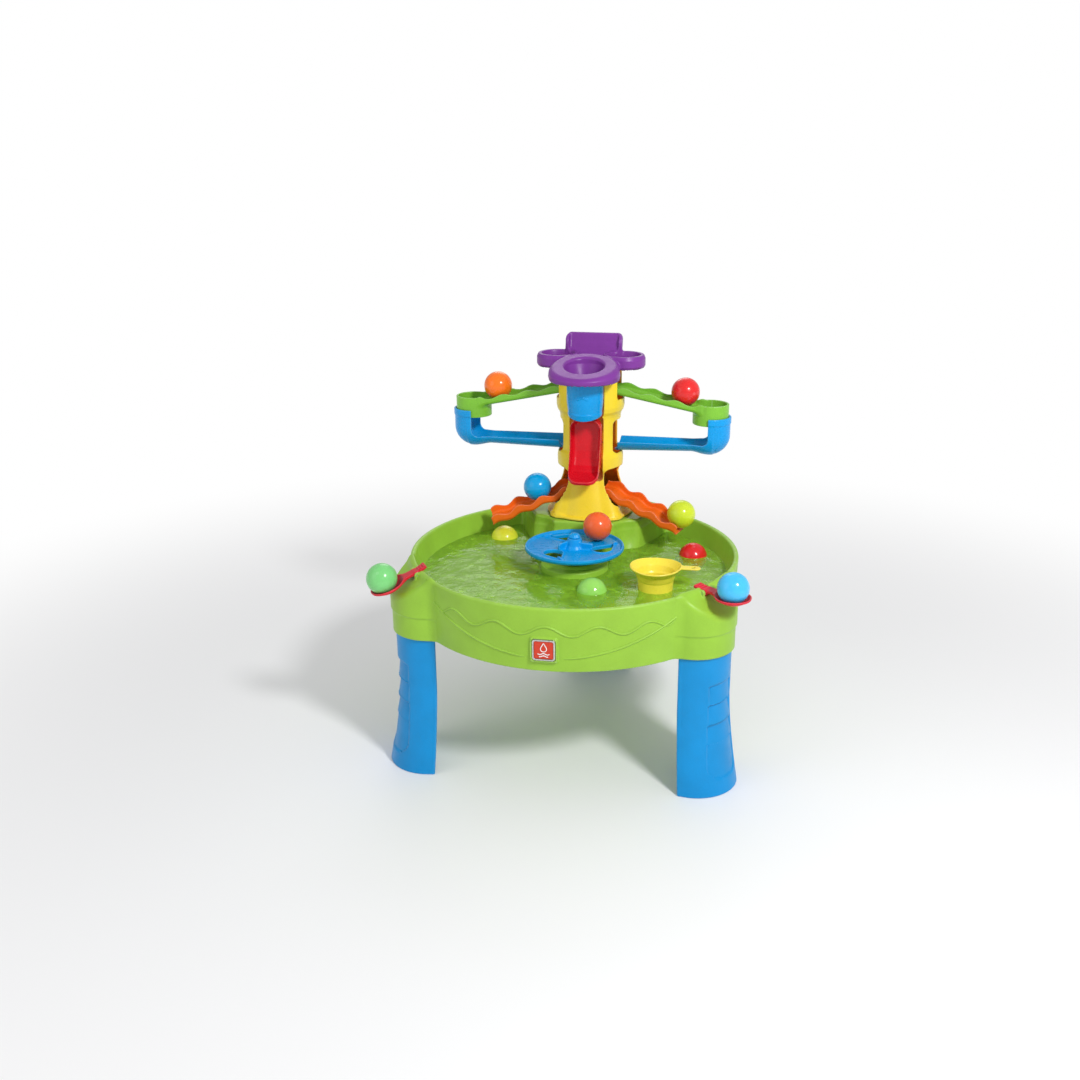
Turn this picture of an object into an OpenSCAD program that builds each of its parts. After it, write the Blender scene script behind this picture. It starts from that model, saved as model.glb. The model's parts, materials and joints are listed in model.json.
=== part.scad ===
// Sand and water table: a round basin on three legs, with a ball tower at the back.
// Everything is in millimetres. The floor is z = 0 and the front faces -Y.

/* [Basin] */
// Outer radius of the rim
rim_r = 387; // [370:1:400]
// Height of the rim above the floor
rim_z = 478; // [470:1:486]
// Height of the inside floor of the basin
floor_z = 388; // [380:1:394]
// Height of the lower edge of the skirt
skirt_z = 333; // [325:1:338]
// Thickness of the moulded basin wall
wall = 4; // [3:0.5:5]
// Wall of the three bosses that take the legs
boss_wall = 5; // [4:0.5:6]
// Height of the platform that the tower stands on
hill_z = 503; // [500:1:505]

/* [Legs] */
// Radius of the curved leg panel
leg_r = 84; // [80:1:86]
// Thickness of the leg panel
leg_t = 5; // [4:0.5:6]
// How far the foot flares outward
leg_flare = 14; // [5:1:20]

/* [Tower] */
// Distance from the basin's axis back to the tower's axis
tower_y = 235; // [232:1:238]
// Outer radius of the tower's widest lobe
tower_r = 84; // [82:1:85]
// Height of the top of the tower
tower_top = 862; // [858:1:864]
// Thickness of the tower shells
shell_t = 3.5; // [3:0.5:4]
// Radius of the flange at the tower's foot
flange_r = 108; // [104:1:110]

/* [Ball track] */
// Diameter of the play balls
ball_d = 70; // [66:1:70]
// Distance from the tower's axis out to the drop loops
loop_x = 297; // [292:1:300]
// Slope of the upper ramps, rise over run
upper_slope = 0.2; // [0.16:0.01:0.22]
// Turn of the lower ramps towards the front, in degrees
lower_turn = 15; // [12:1:18]
// Fall of the lower ramps, in degrees
lower_fall = 21; // [19:1:22]

/* [Spinner] */
// Radius of the spinning dish
spinner_r = 118; // [105:1:118]
// Height of the dish's upper face
spinner_z = 480; // [474:1:484]

/* [Paddles] */
// How far the left paddle is tilted down at rest, in degrees
left_tilt = 20; // [0:1:22]
// Radius of the paddle's bowl
bowl_r = 39; // [37:0.5:39]
// Distance from the pivot out to the middle of the bowl
bowl_reach = 68; // [67:1:70]

/* [Pour cup] */
// Height of the pour cup
cup_h = 96; // [80:1:110]
// Radius of the pour cup's brim
brim_r = 60; // [54:1:62]

/* [Hidden] */

lime = [0.56, 0.78, 0.28];
leg_blue = [0.0, 0.52, 0.80];
toy_blue = [0.0, 0.62, 0.90];
yellow = [0.97, 0.86, 0.20];
amber = [0.93, 0.66, 0.15];
purple = [0.50, 0.22, 0.62];
red = [0.86, 0.13, 0.20];
orange = [0.93, 0.42, 0.13];
leaf = [0.45, 0.74, 0.25];
steel = [0.75, 0.75, 0.77];

// The basin's axis lies here, so that the whole table's box is centred on the origin
basin_pos = [1.81, -38, 0];
// Directions of the left, right and rear bosses, in degrees from +X
left_dir = 211;
right_dir = 329;
rear_dir = 90;
ball_r = ball_d / 2;
gap = 0.4;
// Screws: shank, the hole round it, the head, and the counterbore for a head
screw_r = 2.2;
hole_r = 2.3;
head_r = 4.4;
sink_r = 5;

// Inner wall of the basin
lip = 11;
inner_top_r = rim_r - lip;
inner_floor_r = 350;
skirt_r = rim_r - 7;
// Bosses, which are round like the legs inside them
leg_centre = 352;
leg_gap = 0.6;
boss_low_z = 331;
boss_step_z = 386;
boss_outer = leg_r + leg_gap + boss_wall;
leg_top_z = 372;
tongue_top_z = 440;
// The boss's shoulder falls outward from the rim
shoulder_in = [380, 475];
shoulder_out = [460, 414];

function arc(r, a0, a1, n) = [for (i = [0:n]) let (a = a0 + (a1 - a0) * i / n) [r * cos(a), r * sin(a)]];

module at_basin() { translate(basin_pos) children(); }
module at_tower() { at_basin() translate([0, tower_y, 0]) children(); }
module at_dir(dir) { at_basin() rotate([0, 0, dir]) children(); }
module mirrored(side) { mirror([side < 0 ? 1 : 0, 0, 0]) children(); }

// A plain ring: outer radius, inner radius, lower and upper heights
module ring(ro, ri, z0, z1) {
    translate([0, 0, z0])
    difference() {
        cylinder(r = ro, h = z1 - z0, $fn = 96);
        translate([0, 0, -1]) cylinder(r = ri, h = z1 - z0 + 2, $fn = 96);
    }
}

// ---------------------------------------------------------------- basin

module basin_shell() {
    rotate_extrude($fn = 144) polygon([
        [skirt_r - wall, skirt_z], [skirt_r, skirt_z],
        [rim_r, rim_z - 8], [rim_r - 1.5, rim_z - 2.5], [rim_r - 4, rim_z],
        [inner_top_r + 3, rim_z], [inner_top_r, rim_z - 3],
        [inner_floor_r + 4, floor_z + 8], [inner_floor_r - 6, floor_z],
        [0, floor_z], [0, floor_z - wall],
        [inner_floor_r - 5, floor_z - wall], [inner_floor_r + 7, floor_z + 5],
        [inner_top_r - 1 + wall, rim_z - wall - 2], [rim_r - wall, rim_z - 9]
    ]);
}

module pedestal() {
    tier_r = 85;
    rotate_extrude($fn = 96) polygon([
        [0, floor_z - 0.5], [tier_r + 14, floor_z - 0.5], [tier_r + 9, floor_z + 22],
        [tier_r, floor_z + 26], [tier_r - 4, floor_z + 52], [tier_r - 16, floor_z + 57],
        [tier_r - 20, floor_z + 66], [0, floor_z + 66]
    ]);
}

hill_plan = [
    [-96, 124], [96, 124], [133, 172], [168, 250], [188, 316], [120, 350],
    [-120, 350], [-188, 316], [-168, 250], [-133, 172]
];

module hill() {
    difference() {
        translate([0, 0, floor_z - 1]) linear_extrude(hill_z - floor_z + 1) polygon(hill_plan);
        translate([0, 0, floor_z - 2])
        linear_extrude(hill_z - floor_z + 2 - wall)
        hill_outline(0.95);
    }
}

// A straight column with the boss's round outline
module boss_column(r, inner, z0, z1) {
    translate([0, 0, z0]) linear_extrude(z1 - z0) intersection() {
        translate([leg_centre, 0]) circle(r = r, $fn = 96);
        translate([inner, -200]) square([200, 400]);
    }
}

module boss_block() {
    difference() {
        union() {
            boss_column(boss_outer + 3, inner_top_r + 2, boss_step_z, rim_z - 1);
            boss_column(boss_outer, skirt_r - 6, boss_low_z, boss_step_z);
        }
        // Sloping shoulder
        rotate([90, 0, 0]) translate([0, 0, -150]) linear_extrude(300)
        polygon([shoulder_in, shoulder_out, [shoulder_out[0], 500], [shoulder_in[0], 500]]);
    }
}

// Lugs that hold the paddle's pin
paddle_r = 391;
paddle_z = 472;
paddle_left_dir = 213;
paddle_right_dir = 327;
pin_r = 4;
neck_half = 13;
lug_t = 8;
module paddle_lugs() {
    for (s = [-1, 1]) translate([0, s * (neck_half + gap + lug_t / 2), 0]) {
        translate([paddle_r - 6, -lug_t / 2, 455]) cube([12, lug_t, paddle_z - 455]);
        translate([paddle_r, -lug_t / 2, paddle_z]) rotate([-90, 0, 0])
            cylinder(r = 6.9, h = lug_t, $fn = 48);
    }
}
module paddle_bore() {
    translate([paddle_r, 40, paddle_z]) rotate([90, 0, 0]) cylinder(r = pin_r, h = 80, $fn = 48);
    // The neck swings in a saddle cut through the rim
    translate([inner_top_r - 9, -neck_half - gap, paddle_z - 8]) cube([42, 2 * (neck_half + gap), 40]);
}

// Room for the leg's panel and tongue inside a boss
module boss_cavity() {
    difference() {
        boss_column(leg_r + leg_gap, inner_top_r + 5, boss_low_z - 1, 446);
        rotate([90, 0, 0]) translate([0, 0, -150]) linear_extrude(300)
        polygon([shoulder_in - [0, 7], shoulder_out - [0, 7], [shoulder_out[0], 500], [shoulder_in[0], 500]]);
    }
    boss_column(leg_r + leg_gap, 300, boss_low_z - 1, leg_top_z + 2);
}

screw_z = [352, 364];
module boss_screw_holes() {
    for (z = screw_z)
        translate([leg_centre + leg_r - 10, 0, z]) rotate([0, 90, 0]) cylinder(r = hole_r, h = 20, $fn = 32);
}

badge_z = 383;
badge_y = -380.6;
module badge_box(w, h, y0, y1) {
    translate([-w / 2, y0, badge_z - h / 2]) cube([w, y1 - y0, h]);
}

drain_pos = [232, 190];
drain_r = 16;

module hill_outline(k) {
    polygon([for (p = hill_plan) [p[0] * k, tower_y + (p[1] - tower_y) * (k - 0.02)]]);
}

module basin() {
    color(lime) difference() {
        union() {
            at_basin() {
                difference() {
                    basin_shell();
                    // The skirt gives way to the bosses, and the floor to the hollow platform
                    for (d = [left_dir, right_dir, rear_dir]) rotate([0, 0, d]) {
                        boss_column(leg_r + 2, 330, 320, leg_top_z + 2);
                        boss_column(leg_r + 2, inner_top_r + 2, 320, 440);
                    }
                    intersection() {
                        cylinder(r = inner_floor_r + 12, h = hill_z, $fn = 96);
                        translate([0, 0, floor_z - wall - 1]) linear_extrude(wall + 2) hill_outline(0.95);
                    }
                }
                intersection() {
                    hill();
                    rotate_extrude($fn = 144) polygon([[0, 300], [inner_floor_r + 2, 380],
                        [inner_top_r + 2, rim_z], [rim_r - 4, hill_z], [0, hill_z]]);
                }
                pedestal();
                intersection() {
                    badge_box(58, 56, -388, -370);
                    ring(400, skirt_r - 2, 300, 500);
                }
            }
            for (d = [left_dir, right_dir, rear_dir]) at_dir(d) difference() {
                boss_block();
                boss_cavity();
            }
            for (d = [paddle_left_dir, paddle_right_dir]) at_dir(d) paddle_lugs();
        }
        for (d = [paddle_left_dir, paddle_right_dir]) at_dir(d) paddle_bore();
        for (d = [left_dir, right_dir, rear_dir]) at_dir(d) boss_screw_holes();
        at_basin() {
            badge_box(50.8, 48.8, -400, badge_y);
            translate([drain_pos[0], drain_pos[1], 300]) cylinder(r = drain_r, h = 120, $fn = 64);
            translate([0, 0, pedestal_top - 24]) cylinder(r = post_r, h = 60, $fn = 48);
        }
        at_tower() base_screw_places() translate([0, 0, hill_z - 20]) cylinder(r = hole_r, h = 40, $fn = 32);
    }
}

module badge() {
    color(red) at_basin() difference() {
        badge_box(42, 40, badge_y - 4.4, badge_y - gap);
        // Three rings, like a splash
        for (r = [5, 10, 15]) translate([0, badge_y - 3.4, badge_z]) rotate([90, 0, 0]) ring(r, r - 2, 0, 4);
    }
}

module badge_frame() {
    color("silver") at_basin() difference() {
        badge_box(50, 48, badge_y - 6, badge_y - gap);
        badge_box(42.4, 40.4, badge_y - 9, badge_y + 9);
    }
}

module drain_plug() {
    color(toy_blue) at_basin() translate([drain_pos[0], drain_pos[1], floor_z + gap]) {
        cylinder(r = drain_r + 5, h = 3, $fn = 64);
        translate([0, 0, -9]) cylinder(r = drain_r - 0.3, h = 10, $fn = 64);
        difference() {
            translate([0, 2.5, 8]) rotate([90, 0, 0]) cylinder(r = 9, h = 5, $fn = 48);
            translate([0, 4, 9]) rotate([90, 0, 0]) cylinder(r = 5, h = 8, $fn = 48);
        }
    }
}

// ---------------------------------------------------------------- legs

// How far the panel has moved outward, and how much its radius has grown, at height z
function flare(z) = z > 220 ? 0 : leg_flare * pow(1 - z / 220, 1.5);

// Half the arc that the panel spans
leg_half = 78;
leg_steps = 22;
function leg_ring(z, half) = let (c = leg_centre + flare(z), r = leg_r + flare(z)) [
    for (i = [0:leg_steps]) let (a = -half + 2 * half * i / leg_steps) [c + r * cos(a), r * sin(a), z],
    for (i = [leg_steps:-1:0]) let (a = -half + 2 * half * i / leg_steps)
        [c + (r - leg_t) * cos(a), (r - leg_t) * sin(a), z]
];

// A solid through rings of equal length, closed at both ends
module loft(rings) {
    n = len(rings[0]);
    m = len(rings);
    pts = [for (r = rings) each r];
    faces = concat(
        [[for (i = [n - 1:-1:0]) i]],
        [for (k = [0:m - 2], i = [0:n - 1]) let (j = (i + 1) % n) [k * n + i, k * n + j, (k + 1) * n + j]],
        [for (k = [0:m - 2], i = [0:n - 1]) let (j = (i + 1) % n)
            [k * n + i, (k + 1) * n + j, (k + 1) * n + i]],
        [[for (i = [0:n - 1]) (m - 1) * n + i]]
    );
    polyhedron(points = pts, faces = [for (f = faces) [for (i = [len(f) - 1:-1:0]) f[i]]]);
}

tongue_arc = 40;
// The tongue stays under the boss's shoulder
module boss_tongue_limit() {
    rotate([90, 0, 0]) translate([0, 0, -150]) linear_extrude(300)
    polygon([[inner_top_r + 6, 300], shoulder_in + [26, -28], shoulder_out - [0, 9], [shoulder_out[0], 300]]);
}
module leg(dir) {
    levels = [0, 8, 30, 60, 90, 120, 150, 185, 220, leg_top_z];
    color(leg_blue) at_dir(dir) difference() {
        union() {
            loft([for (z = levels) leg_ring(z, leg_half)]);
            intersection() {
                loft([for (z = [leg_top_z - 1, tongue_top_z]) leg_ring(z, tongue_arc)]);
                boss_tongue_limit();
            }
        }
        boss_screw_holes();
    }
}
module leg_front_left() { leg(left_dir); }
module leg_front_right() { leg(right_dir); }
module leg_rear() { leg(rear_dir); }

module leg_screws() {
    color(steel) for (d = [left_dir, right_dir, rear_dir], z = screw_z)
        at_dir(d) translate([leg_centre + leg_r - leg_t - 0.4, 0, z]) rotate([0, 90, 0]) {
            cylinder(r = screw_r, h = leg_t + 4.5, $fn = 32);
            translate([0, 0, -3]) cylinder(r = head_r, h = 3, $fn = 32);
        }
}

// ---------------------------------------------------------------- tower

// Outer outline of the tower, as radius and height
tower_outline = [
    [flange_r, hill_z + gap], [flange_r, hill_z + 6], [flange_r - 8, hill_z + 11],
    [88, hill_z + 45], [74, hill_z + 88], [71, 606], [74, 616], [81, 624], [82, 636], [82, 652],
    [80, 661], [76, 667], [75, 680], [75, 752], [77, 760], [82, 768], [tower_r, 778], [tower_r, tower_top]
];

module tower_body() {
    n = len(tower_outline);
    inner = [for (i = [n - 1:-1:0]) [tower_outline[i][0] - shell_t, tower_outline[i][1]]];
    rotate_extrude($fn = 96) polygon(concat(tower_outline, inner));
}

// An opening in the tower's side: where it begins, half its width, its sill and its height
module side_opening(x0, half, sill, h) {
    translate([x0, -half, sill]) cube([90, 2 * half, h]);
}

// Everything that passes through the tower's wall
module tower_windows() {
    for (side = [-1, 1]) mirrored(side) {
        // Head of the upper ramp
        side_opening(40, 42, 796, 80);
        // Window over the return chute
        side_opening(40, 41, 661, 82);
        // Door over the lower ramp
        translate([0, -12, 0]) rotate([0, 0, -lower_turn]) side_opening(54, 42, 534, 92);
    }
    // Seat of the drop cup and of the slide
    translate([0, -88, 757]) cylinder(r = 47, h = 120, $fn = 64);
    translate([-41, -130, 596]) cube([82, 78, 164]);
}

module tower_front() {
    color(yellow) at_tower() difference() {
        union() {
            tower_body();
            screw_pillars(-14, 0);
        }
        tower_windows();
        translate([-150, -0.1, 400]) cube([300, 200, 500]);
        flange_holes();
        tower_screw_places() translate([0, 0, -12]) cylinder(r = 1.9, h = 40, $fn = 32);
    }
}

module tower_back() {
    color(yellow) at_tower() difference() {
        union() {
            tower_body();
            screw_pillars(0, 45);
            tower_shelf();
        }
        tray_screw_places() translate([0, 0, shelf_z - 20]) cylinder(r = hole_r, h = 40, $fn = 32);
        tower_windows();
        translate([-150, -199.9, 400]) cube([300, 200, 500]);
        flange_holes();
        tower_screw_places() {
            translate([0, 0, -1]) cylinder(r = 1.9, h = 60, $fn = 32);
            translate([0, 0, 26]) cylinder(r = 4.6, h = 40, $fn = 32);
        }
    }
}

// Shelf inside the back shell that the top tray is screwed to
shelf_z = 862;
module tower_shelf() {
    translate([-30, 8, shelf_z - 5]) cube([60, 72, 5]);
    tray_screw_places() translate([0, 0, shelf_z - 14]) cylinder(r = 6, h = 12, $fn = 48);
}

module flange_holes() {
    base_screw_places() {
        translate([0, 0, hill_z - 20]) cylinder(r = hole_r, h = 60, $fn = 32);
        translate([0, 0, hill_z + 8]) cylinder(r = sink_r, h = 60, $fn = 32);
    }
}

module base_screw_places() {
    for (a = [45, 135, 225, 315]) rotate([0, 0, a]) translate([flange_r - 5.4, 0, 0]) children();
}

module base_screws() {
    color(steel) at_tower() base_screw_places() {
        translate([0, 0, hill_z - 12]) cylinder(r = screw_r, h = 21, $fn = 32);
        translate([0, 0, hill_z + 8.2]) cylinder(r = head_r, h = 3, $fn = 32);
    }
}

// Four places where a screw joins the back shell to the front shell, pointing to +Y
module tower_screw_places() {
    for (p = [[73, 640], [67, 757]], side = [-1, 1])
        translate([side * p[0], 0, p[1]]) rotate([-90, 0, 0]) children();
}

// Pillars for the screws, kept inside the shells
module screw_pillars(y0, y1) {
    n = len(tower_outline);
    intersection() {
        tower_screw_places() translate([0, 0, y0]) cylinder(r = 6, h = y1 - y0, $fn = 32);
        rotate_extrude($fn = 96) polygon(concat([for (p = tower_outline) [p[0] - 1, p[1]]],
            [[0, tower_outline[n - 1][1]], [0, tower_outline[0][1]]]));
    }
}

module tower_screws() {
    color(steel) at_tower() tower_screw_places() {
            translate([0, 0, -11]) cylinder(r = 1.8, h = 37.5, $fn = 32);
            translate([0, 0, 26.3]) cylinder(r = 4, h = 2.4, $fn = 32);
        }
}

// A ridge inside the tower that sends each ball on to the lower ramp on its own side
guide_half = 29;
guide_low = 573;
guide_ridge = 600;
guide_top = 640;
module ball_guide() {
    color(amber) at_tower() translate([0, 62, 0]) rotate([90, 0, 0]) linear_extrude(106) polygon([
        [-guide_half, guide_low], [0, guide_ridge], [guide_half, guide_low],
        [guide_half, guide_low + 4], [2, guide_ridge + 3], [2, guide_top],
        [-2, guide_top], [-2, guide_ridge + 3], [-guide_half, guide_low + 4]
    ]);
}

// ---------------------------------------------------------------- top tray and front slide

tray_low = 850;
tray_t = 4;
deck_z = 869;
deck_t = 16;
funnel_y = -100;
funnel_top_r = 47;
funnel_low_r = 37;
front_ring_r = 86;
// The front ring's rim leans forward, and its middle is at this height
lean = 13;
lean_z = 889;
side_ring_x = 81;
side_ring_y = 3;
side_ring_r = 53;
side_hole_r = 39;
tray_top = 943;

// The funnel's bore, grown by g
module funnel(g) {
    translate([0, funnel_y, tray_low]) rotate_extrude($fn = 96) polygon([
        [0, -40], [funnel_low_r + g, -40], [funnel_low_r + g, 6],
        [funnel_top_r + g, 36], [funnel_top_r + g + 2, 90], [0, 90]
    ]);
}

// The front ring, drawn in by t. Its top is cut off by a plane that leans forward.
module front_ring(t) {
    r = front_ring_r - t;
    difference() {
        translate([0, funnel_y, tray_low]) rotate_extrude($fn = 96)
            polygon([[0, -t], [r - 8, -t], [r - 2, 6], [r, 16], [r - 3, 28], [r - 9, 60], [0, 60]]);
        translate([0, funnel_y, lean_z - t]) rotate([lean, 0, 0]) translate([-120, -120, 0]) cube([240, 240, 90]);
    }
}

module tray_plan_solid() {
    front_ring(0);
    // Side rings
    for (s = [-1, 1]) translate([s * side_ring_x, side_ring_y, deck_z]) rotate_extrude($fn = 96) polygon([
        [0, 0], [side_ring_r - 4, 0], [side_ring_r, 6], [side_ring_r, 24], [side_ring_r - 4, 32],
        [side_ring_r - 10, 32], [side_hole_r + 2, 24], [0, 24]
    ]);
    // Middle deck
    translate([-75, -60, deck_z]) cube([150, 105, deck_t]);
}

// Hollows under the rings and the deck, which leave the tray with even walls
module tray_hollows() {
    wall_r = side_hole_r + tray_t;
    difference() {
        union() {
            front_ring(tray_t);
            for (s = [-1, 1]) translate([s * side_ring_x, side_ring_y, deck_z - 1]) rotate_extrude($fn = 96)
                polygon([[wall_r, 0], [side_ring_r - tray_t, 0], [side_ring_r - tray_t, 24],
                    [side_ring_r - tray_t - 3, 29], [wall_r, 29]]);
            translate([-70, -56, deck_z - 1]) cube([140, 97, deck_t - tray_t + 1]);
        }
        for (s = [-1, 1]) translate([s * side_ring_x, side_ring_y, deck_z - 8])
            cylinder(r = wall_r - 0.02, h = 60, $fn = 96);
        funnel(tray_t);
        tray_screw_places() translate([0, 0, deck_z - 8]) cylinder(r = 7, h = deck_t + 4, $fn = 48);
    }
}

panel_half = 71;
panel_web = 8;
panel_corner = 15;
// Height and distance back, along the panel's concave face and then down its back
panel_sheet = [
    [880, 20], [885, 27], [893, 36], [906, 45], [922, 52], [tray_top, 57],
    [tray_top, 66], [938, 66], [935, 61], [921, 57], [903, 50], [889, 41], [880, 32]
];
panel_end = [
    [870, 8], [888, 10], [908, 24], [930, 44], [tray_top, 57], [tray_top, 66], [934, 66], [904, 60], [870, 44]
];
// A side view in height and distance back, made into a solid between two places along X
module across(x0, x1, view) {
    translate([x1, 0, 0]) rotate([0, -90, 0]) linear_extrude(x1 - x0) polygon(view);
}
// Leaning back panel, like a seat's, with a web at each end and round upper corners
module back_panel() {
    corner = panel_half - panel_corner;
    intersection() {
        union() {
            across(-panel_half + 1, panel_half - 1, panel_sheet);
            for (s = [0, 1]) mirror([s, 0, 0]) across(panel_half - panel_web, panel_half, panel_end);
        }
        translate([0, 120, 0]) rotate([90, 0, 0]) linear_extrude(160) polygon(concat(
            [[-panel_half - 1, 860], [panel_half + 1, 860], [panel_half + 1, tray_top - panel_corner]],
            [for (p = arc(panel_corner, 0, 90, 8)) p + [corner, tray_top - panel_corner]],
            [for (p = arc(panel_corner, 90, 180, 8)) p + [-corner, tray_top - panel_corner]],
            [[-panel_half - 1, tray_top - panel_corner]]
        ));
    }
}

module top_tray() {
    color(purple) at_tower() difference() {
        union() {
            difference() {
                tray_plan_solid();
                tray_hollows();
            }
            back_panel();
            // Bosses for the screws, which stand on the tower's shelf
            tray_screw_places() translate([0, 0, shelf_z + gap])
                cylinder(r = 7, h = deck_z + deck_t - 2 - shelf_z - gap, $fn = 48);
        }
        funnel(0);
        for (s = [-1, 1]) translate([s * side_ring_x, side_ring_y, deck_z - 16])
            cylinder(r = side_hole_r, h = 80, $fn = 96);
        // Underside fits over the top of the tower
        difference() {
            translate([0, 0, 830]) cylinder(r = tower_r + 0.3, h = tower_top - 830 + gap, $fn = 96);
            translate([0, funnel_y + 4, 820]) cylinder(r = 51, h = 60, $fn = 96);
        }
        tray_screw_places() translate([0, 0, deck_z - 26]) cylinder(r = hole_r, h = 60, $fn = 32);
    }
}

module tray_screw_places() {
    for (x = [-18, 18]) translate([x, 16, 0]) children();
}

module tray_screws() {
    color(steel) at_tower() tray_screw_places() {
        translate([0, 0, shelf_z - 12]) cylinder(r = screw_r, h = deck_z + deck_t + 12.4 - shelf_z, $fn = 32);
        translate([0, 0, deck_z + deck_t + 0.2]) cylinder(r = head_r, h = 2.6, $fn = 32);
    }
}

cup_top = tray_low - gap;
cup_low = 757.6;
module drop_cup() {
    color(toy_blue) at_tower() translate([0, funnel_y + 14, 0]) difference() {
        rotate_extrude($fn = 96)
        polygon([[0, cup_top], [45, cup_top], [44, 800], [41, 772], [38, cup_low], [0, cup_low]]);
        translate([0, 0, cup_low - 1]) rotate_extrude($fn = 96)
        polygon([[0, 0], [35.6, 0], [37.4, 12], [40.6, 45], [41.4, 90], [0, 90]]);
        translate([-60, 6, cup_low - 1]) cube([120, 60, 200]);
    }
}

slide_half = 39;
slide_wall = 2.5;
slide_top = 752;
slide_low = 604;
// Outline of the slide seen from its side, as distance behind the tower's axis and height
slide_back = [
    [-48, slide_top], [-50, 668], [-55, 650], [-66, 634], [-84, 620], [-110, 610], [-136, slide_low]
];
slide_side = concat(
    [[-88, slide_top - 12], [-78, slide_top]], slide_back,
    [[-141, 610], [-137, 622], [-120, 640], [-104, 664], [-93, 700]]
);
module front_slide() {
    color(red) at_tower() difference() {
        across(-slide_half, slide_half, [for (p = slide_side) [p[1], p[0]]]);
        across(-slide_half + slide_wall, slide_half - slide_wall, concat(
            [for (p = slide_back) [p[1] + slide_wall, p[0] - slide_wall]],
            [[590, -175], [slide_top + 12, -175], [slide_top + 12, -50 - slide_wall]]
        ));
    }
}

// ---------------------------------------------------------------- ramps and chutes

trough_half = 38;

// Cross-section of a shallow trough, resting on y = 0
module trough_section(half, h, t) {
    difference() {
        polygon([[-half + 10, -t], [half - 10, -t], [half, 8], [half, h], [-half, h], [-half, 8]]);
        polygon([[-half + 12, 0], [half - 12, 0], [half - t, 9], [half - t, h + 1],
            [-half + t, h + 1], [-half + t, 9]]);
    }
}

upper_x0 = 52;
upper_floor = 765;
upper_angle = atan(upper_slope);
loop_r = 45;
loop_hole_r = 38.5;
loop_low = 738;
loop_h = 50;
// The trough ends inside the loop's wall
trough_end = 20;
module upper_ramp(side) {
    run = (loop_x - upper_x0) / cos(upper_angle);
    color(leaf) at_tower() mirrored(side) difference() {
        union() {
            translate([loop_x, 0, upper_floor]) rotate([0, upper_angle, 0]) translate([-run, 0, 0])
            rotate([90, 0, 90]) linear_extrude(run - trough_end) trough_section(trough_half, 17, 3);
            translate([loop_x, 0, loop_low]) cylinder(r = loop_r, h = loop_h, $fn = 96);
        }
        translate([loop_x, 0, loop_low - 10]) cylinder(r = loop_hole_r, h = 90, $fn = 96);
        // The ramp enters the loop through a gap a little narrower than the trough
        translate([loop_x - 60, -trough_half + 5, upper_floor + 2]) cube([60, 2 * trough_half - 10, 60]);
    }
}
module upper_ramp_left() { upper_ramp(-1); }
module upper_ramp_right() { upper_ramp(1); }

chute_z = 703;
chute_r = 40;
chute_in = 37;
chute_x0 = 60;
chute_slope = 1.5;
elbow_r = 48.5;
elbow_t = 3.1;
elbow_z = 711;
elbow_top = 757;
chute_edge = 690;
module half_pipe(r, len) {
    rotate([0, 90, 0]) cylinder(r = r, h = len, $fn = 96);
}
module elbow_solid(r) {
    translate([loop_x, 0, elbow_z]) {
        sphere(r = r, $fn = 96);
        cylinder(r = r, h = elbow_top - elbow_z, $fn = 96);
    }
}
module return_chute(side) {
    color(toy_blue) at_tower() mirrored(side) difference() {
        union() {
            translate([chute_x0, 0, chute_z]) rotate([0, -chute_slope, 0])
                half_pipe(chute_r, loop_x - chute_x0);
            elbow_solid(elbow_r);
        }
        translate([chute_x0 - 5, 0, chute_z]) rotate([0, -chute_slope, 0])
            half_pipe(chute_in, loop_x - chute_x0 + 5);
        elbow_solid(elbow_r - elbow_t);
        translate([loop_x, 0, elbow_z + 1]) cylinder(r = elbow_r - elbow_t, h = 80, $fn = 96);
        // The trough is open along its top, and the elbow only wraps the loop's outer half
        translate([chute_x0 - 10, -60, chute_edge]) cube([loop_x - chute_x0 + 10, 120, 120]);
    }
}
module return_chute_left() { return_chute(-1); }
module return_chute_right() { return_chute(1); }

// The lower ramp's start inside the tower, and its length
lower_start = [30, -16, 566];
lower_len = 232;
lower_wave = 3;
wave_len = 61;
lower_steps = 48;
// The left ball rests on this crest and the right ball two crests further down
crest = 94;
function lower_z(s) = lower_wave * cos((s - crest) / wave_len * 360);
// One strip of the wavy ramp, seen from its side
module lower_strip(lo, hi, half_w, y) {
    pts = concat(
        [for (i = [0:lower_steps]) let (s = lower_len * i / lower_steps) [s, lower_z(s) + hi]],
        [for (i = [lower_steps:-1:0]) let (s = lower_len * i / lower_steps) [s, lower_z(s) + lo]]
    );
    translate([0, y + half_w, 0]) rotate([90, 0, 0]) linear_extrude(2 * half_w) polygon(pts);
}
module lower_ramp(side) {
    color(orange) at_tower() mirrored(side) translate(lower_start) rotate([0, 0, -lower_turn])
    rotate([0, lower_fall, 0]) {
        lower_strip(-3, 0, trough_half, 0);
        for (s = [-1, 1]) lower_strip(-3, 20, 1.5, s * (trough_half - 1.5));
    }
}
module lower_ramp_left() { lower_ramp(-1); }
module lower_ramp_right() { lower_ramp(1); }

// ---------------------------------------------------------------- spinner

post_r = 6;
pedestal_top = floor_z + 66;
module spinner_post() {
    color(toy_blue) at_basin() {
        translate([0, 0, pedestal_top - 20])
            cylinder(r = post_r, h = spinner_z + 30 - pedestal_top + 20, $fn = 64);
        translate([0, 0, pedestal_top + 0.1]) cylinder(r = 15, h = 5, $fn = 64);
    }
}
spinner_low = pedestal_top + 5.5;
module teardrop_2d(r, reach) {
    // A round hole drawn out to a point, where the straight edges leave the round at a tangent
    tangent = acos(r / reach);
    polygon(concat([[reach, 0]], arc(r, tangent, 360 - tangent, 24)));
}
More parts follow.
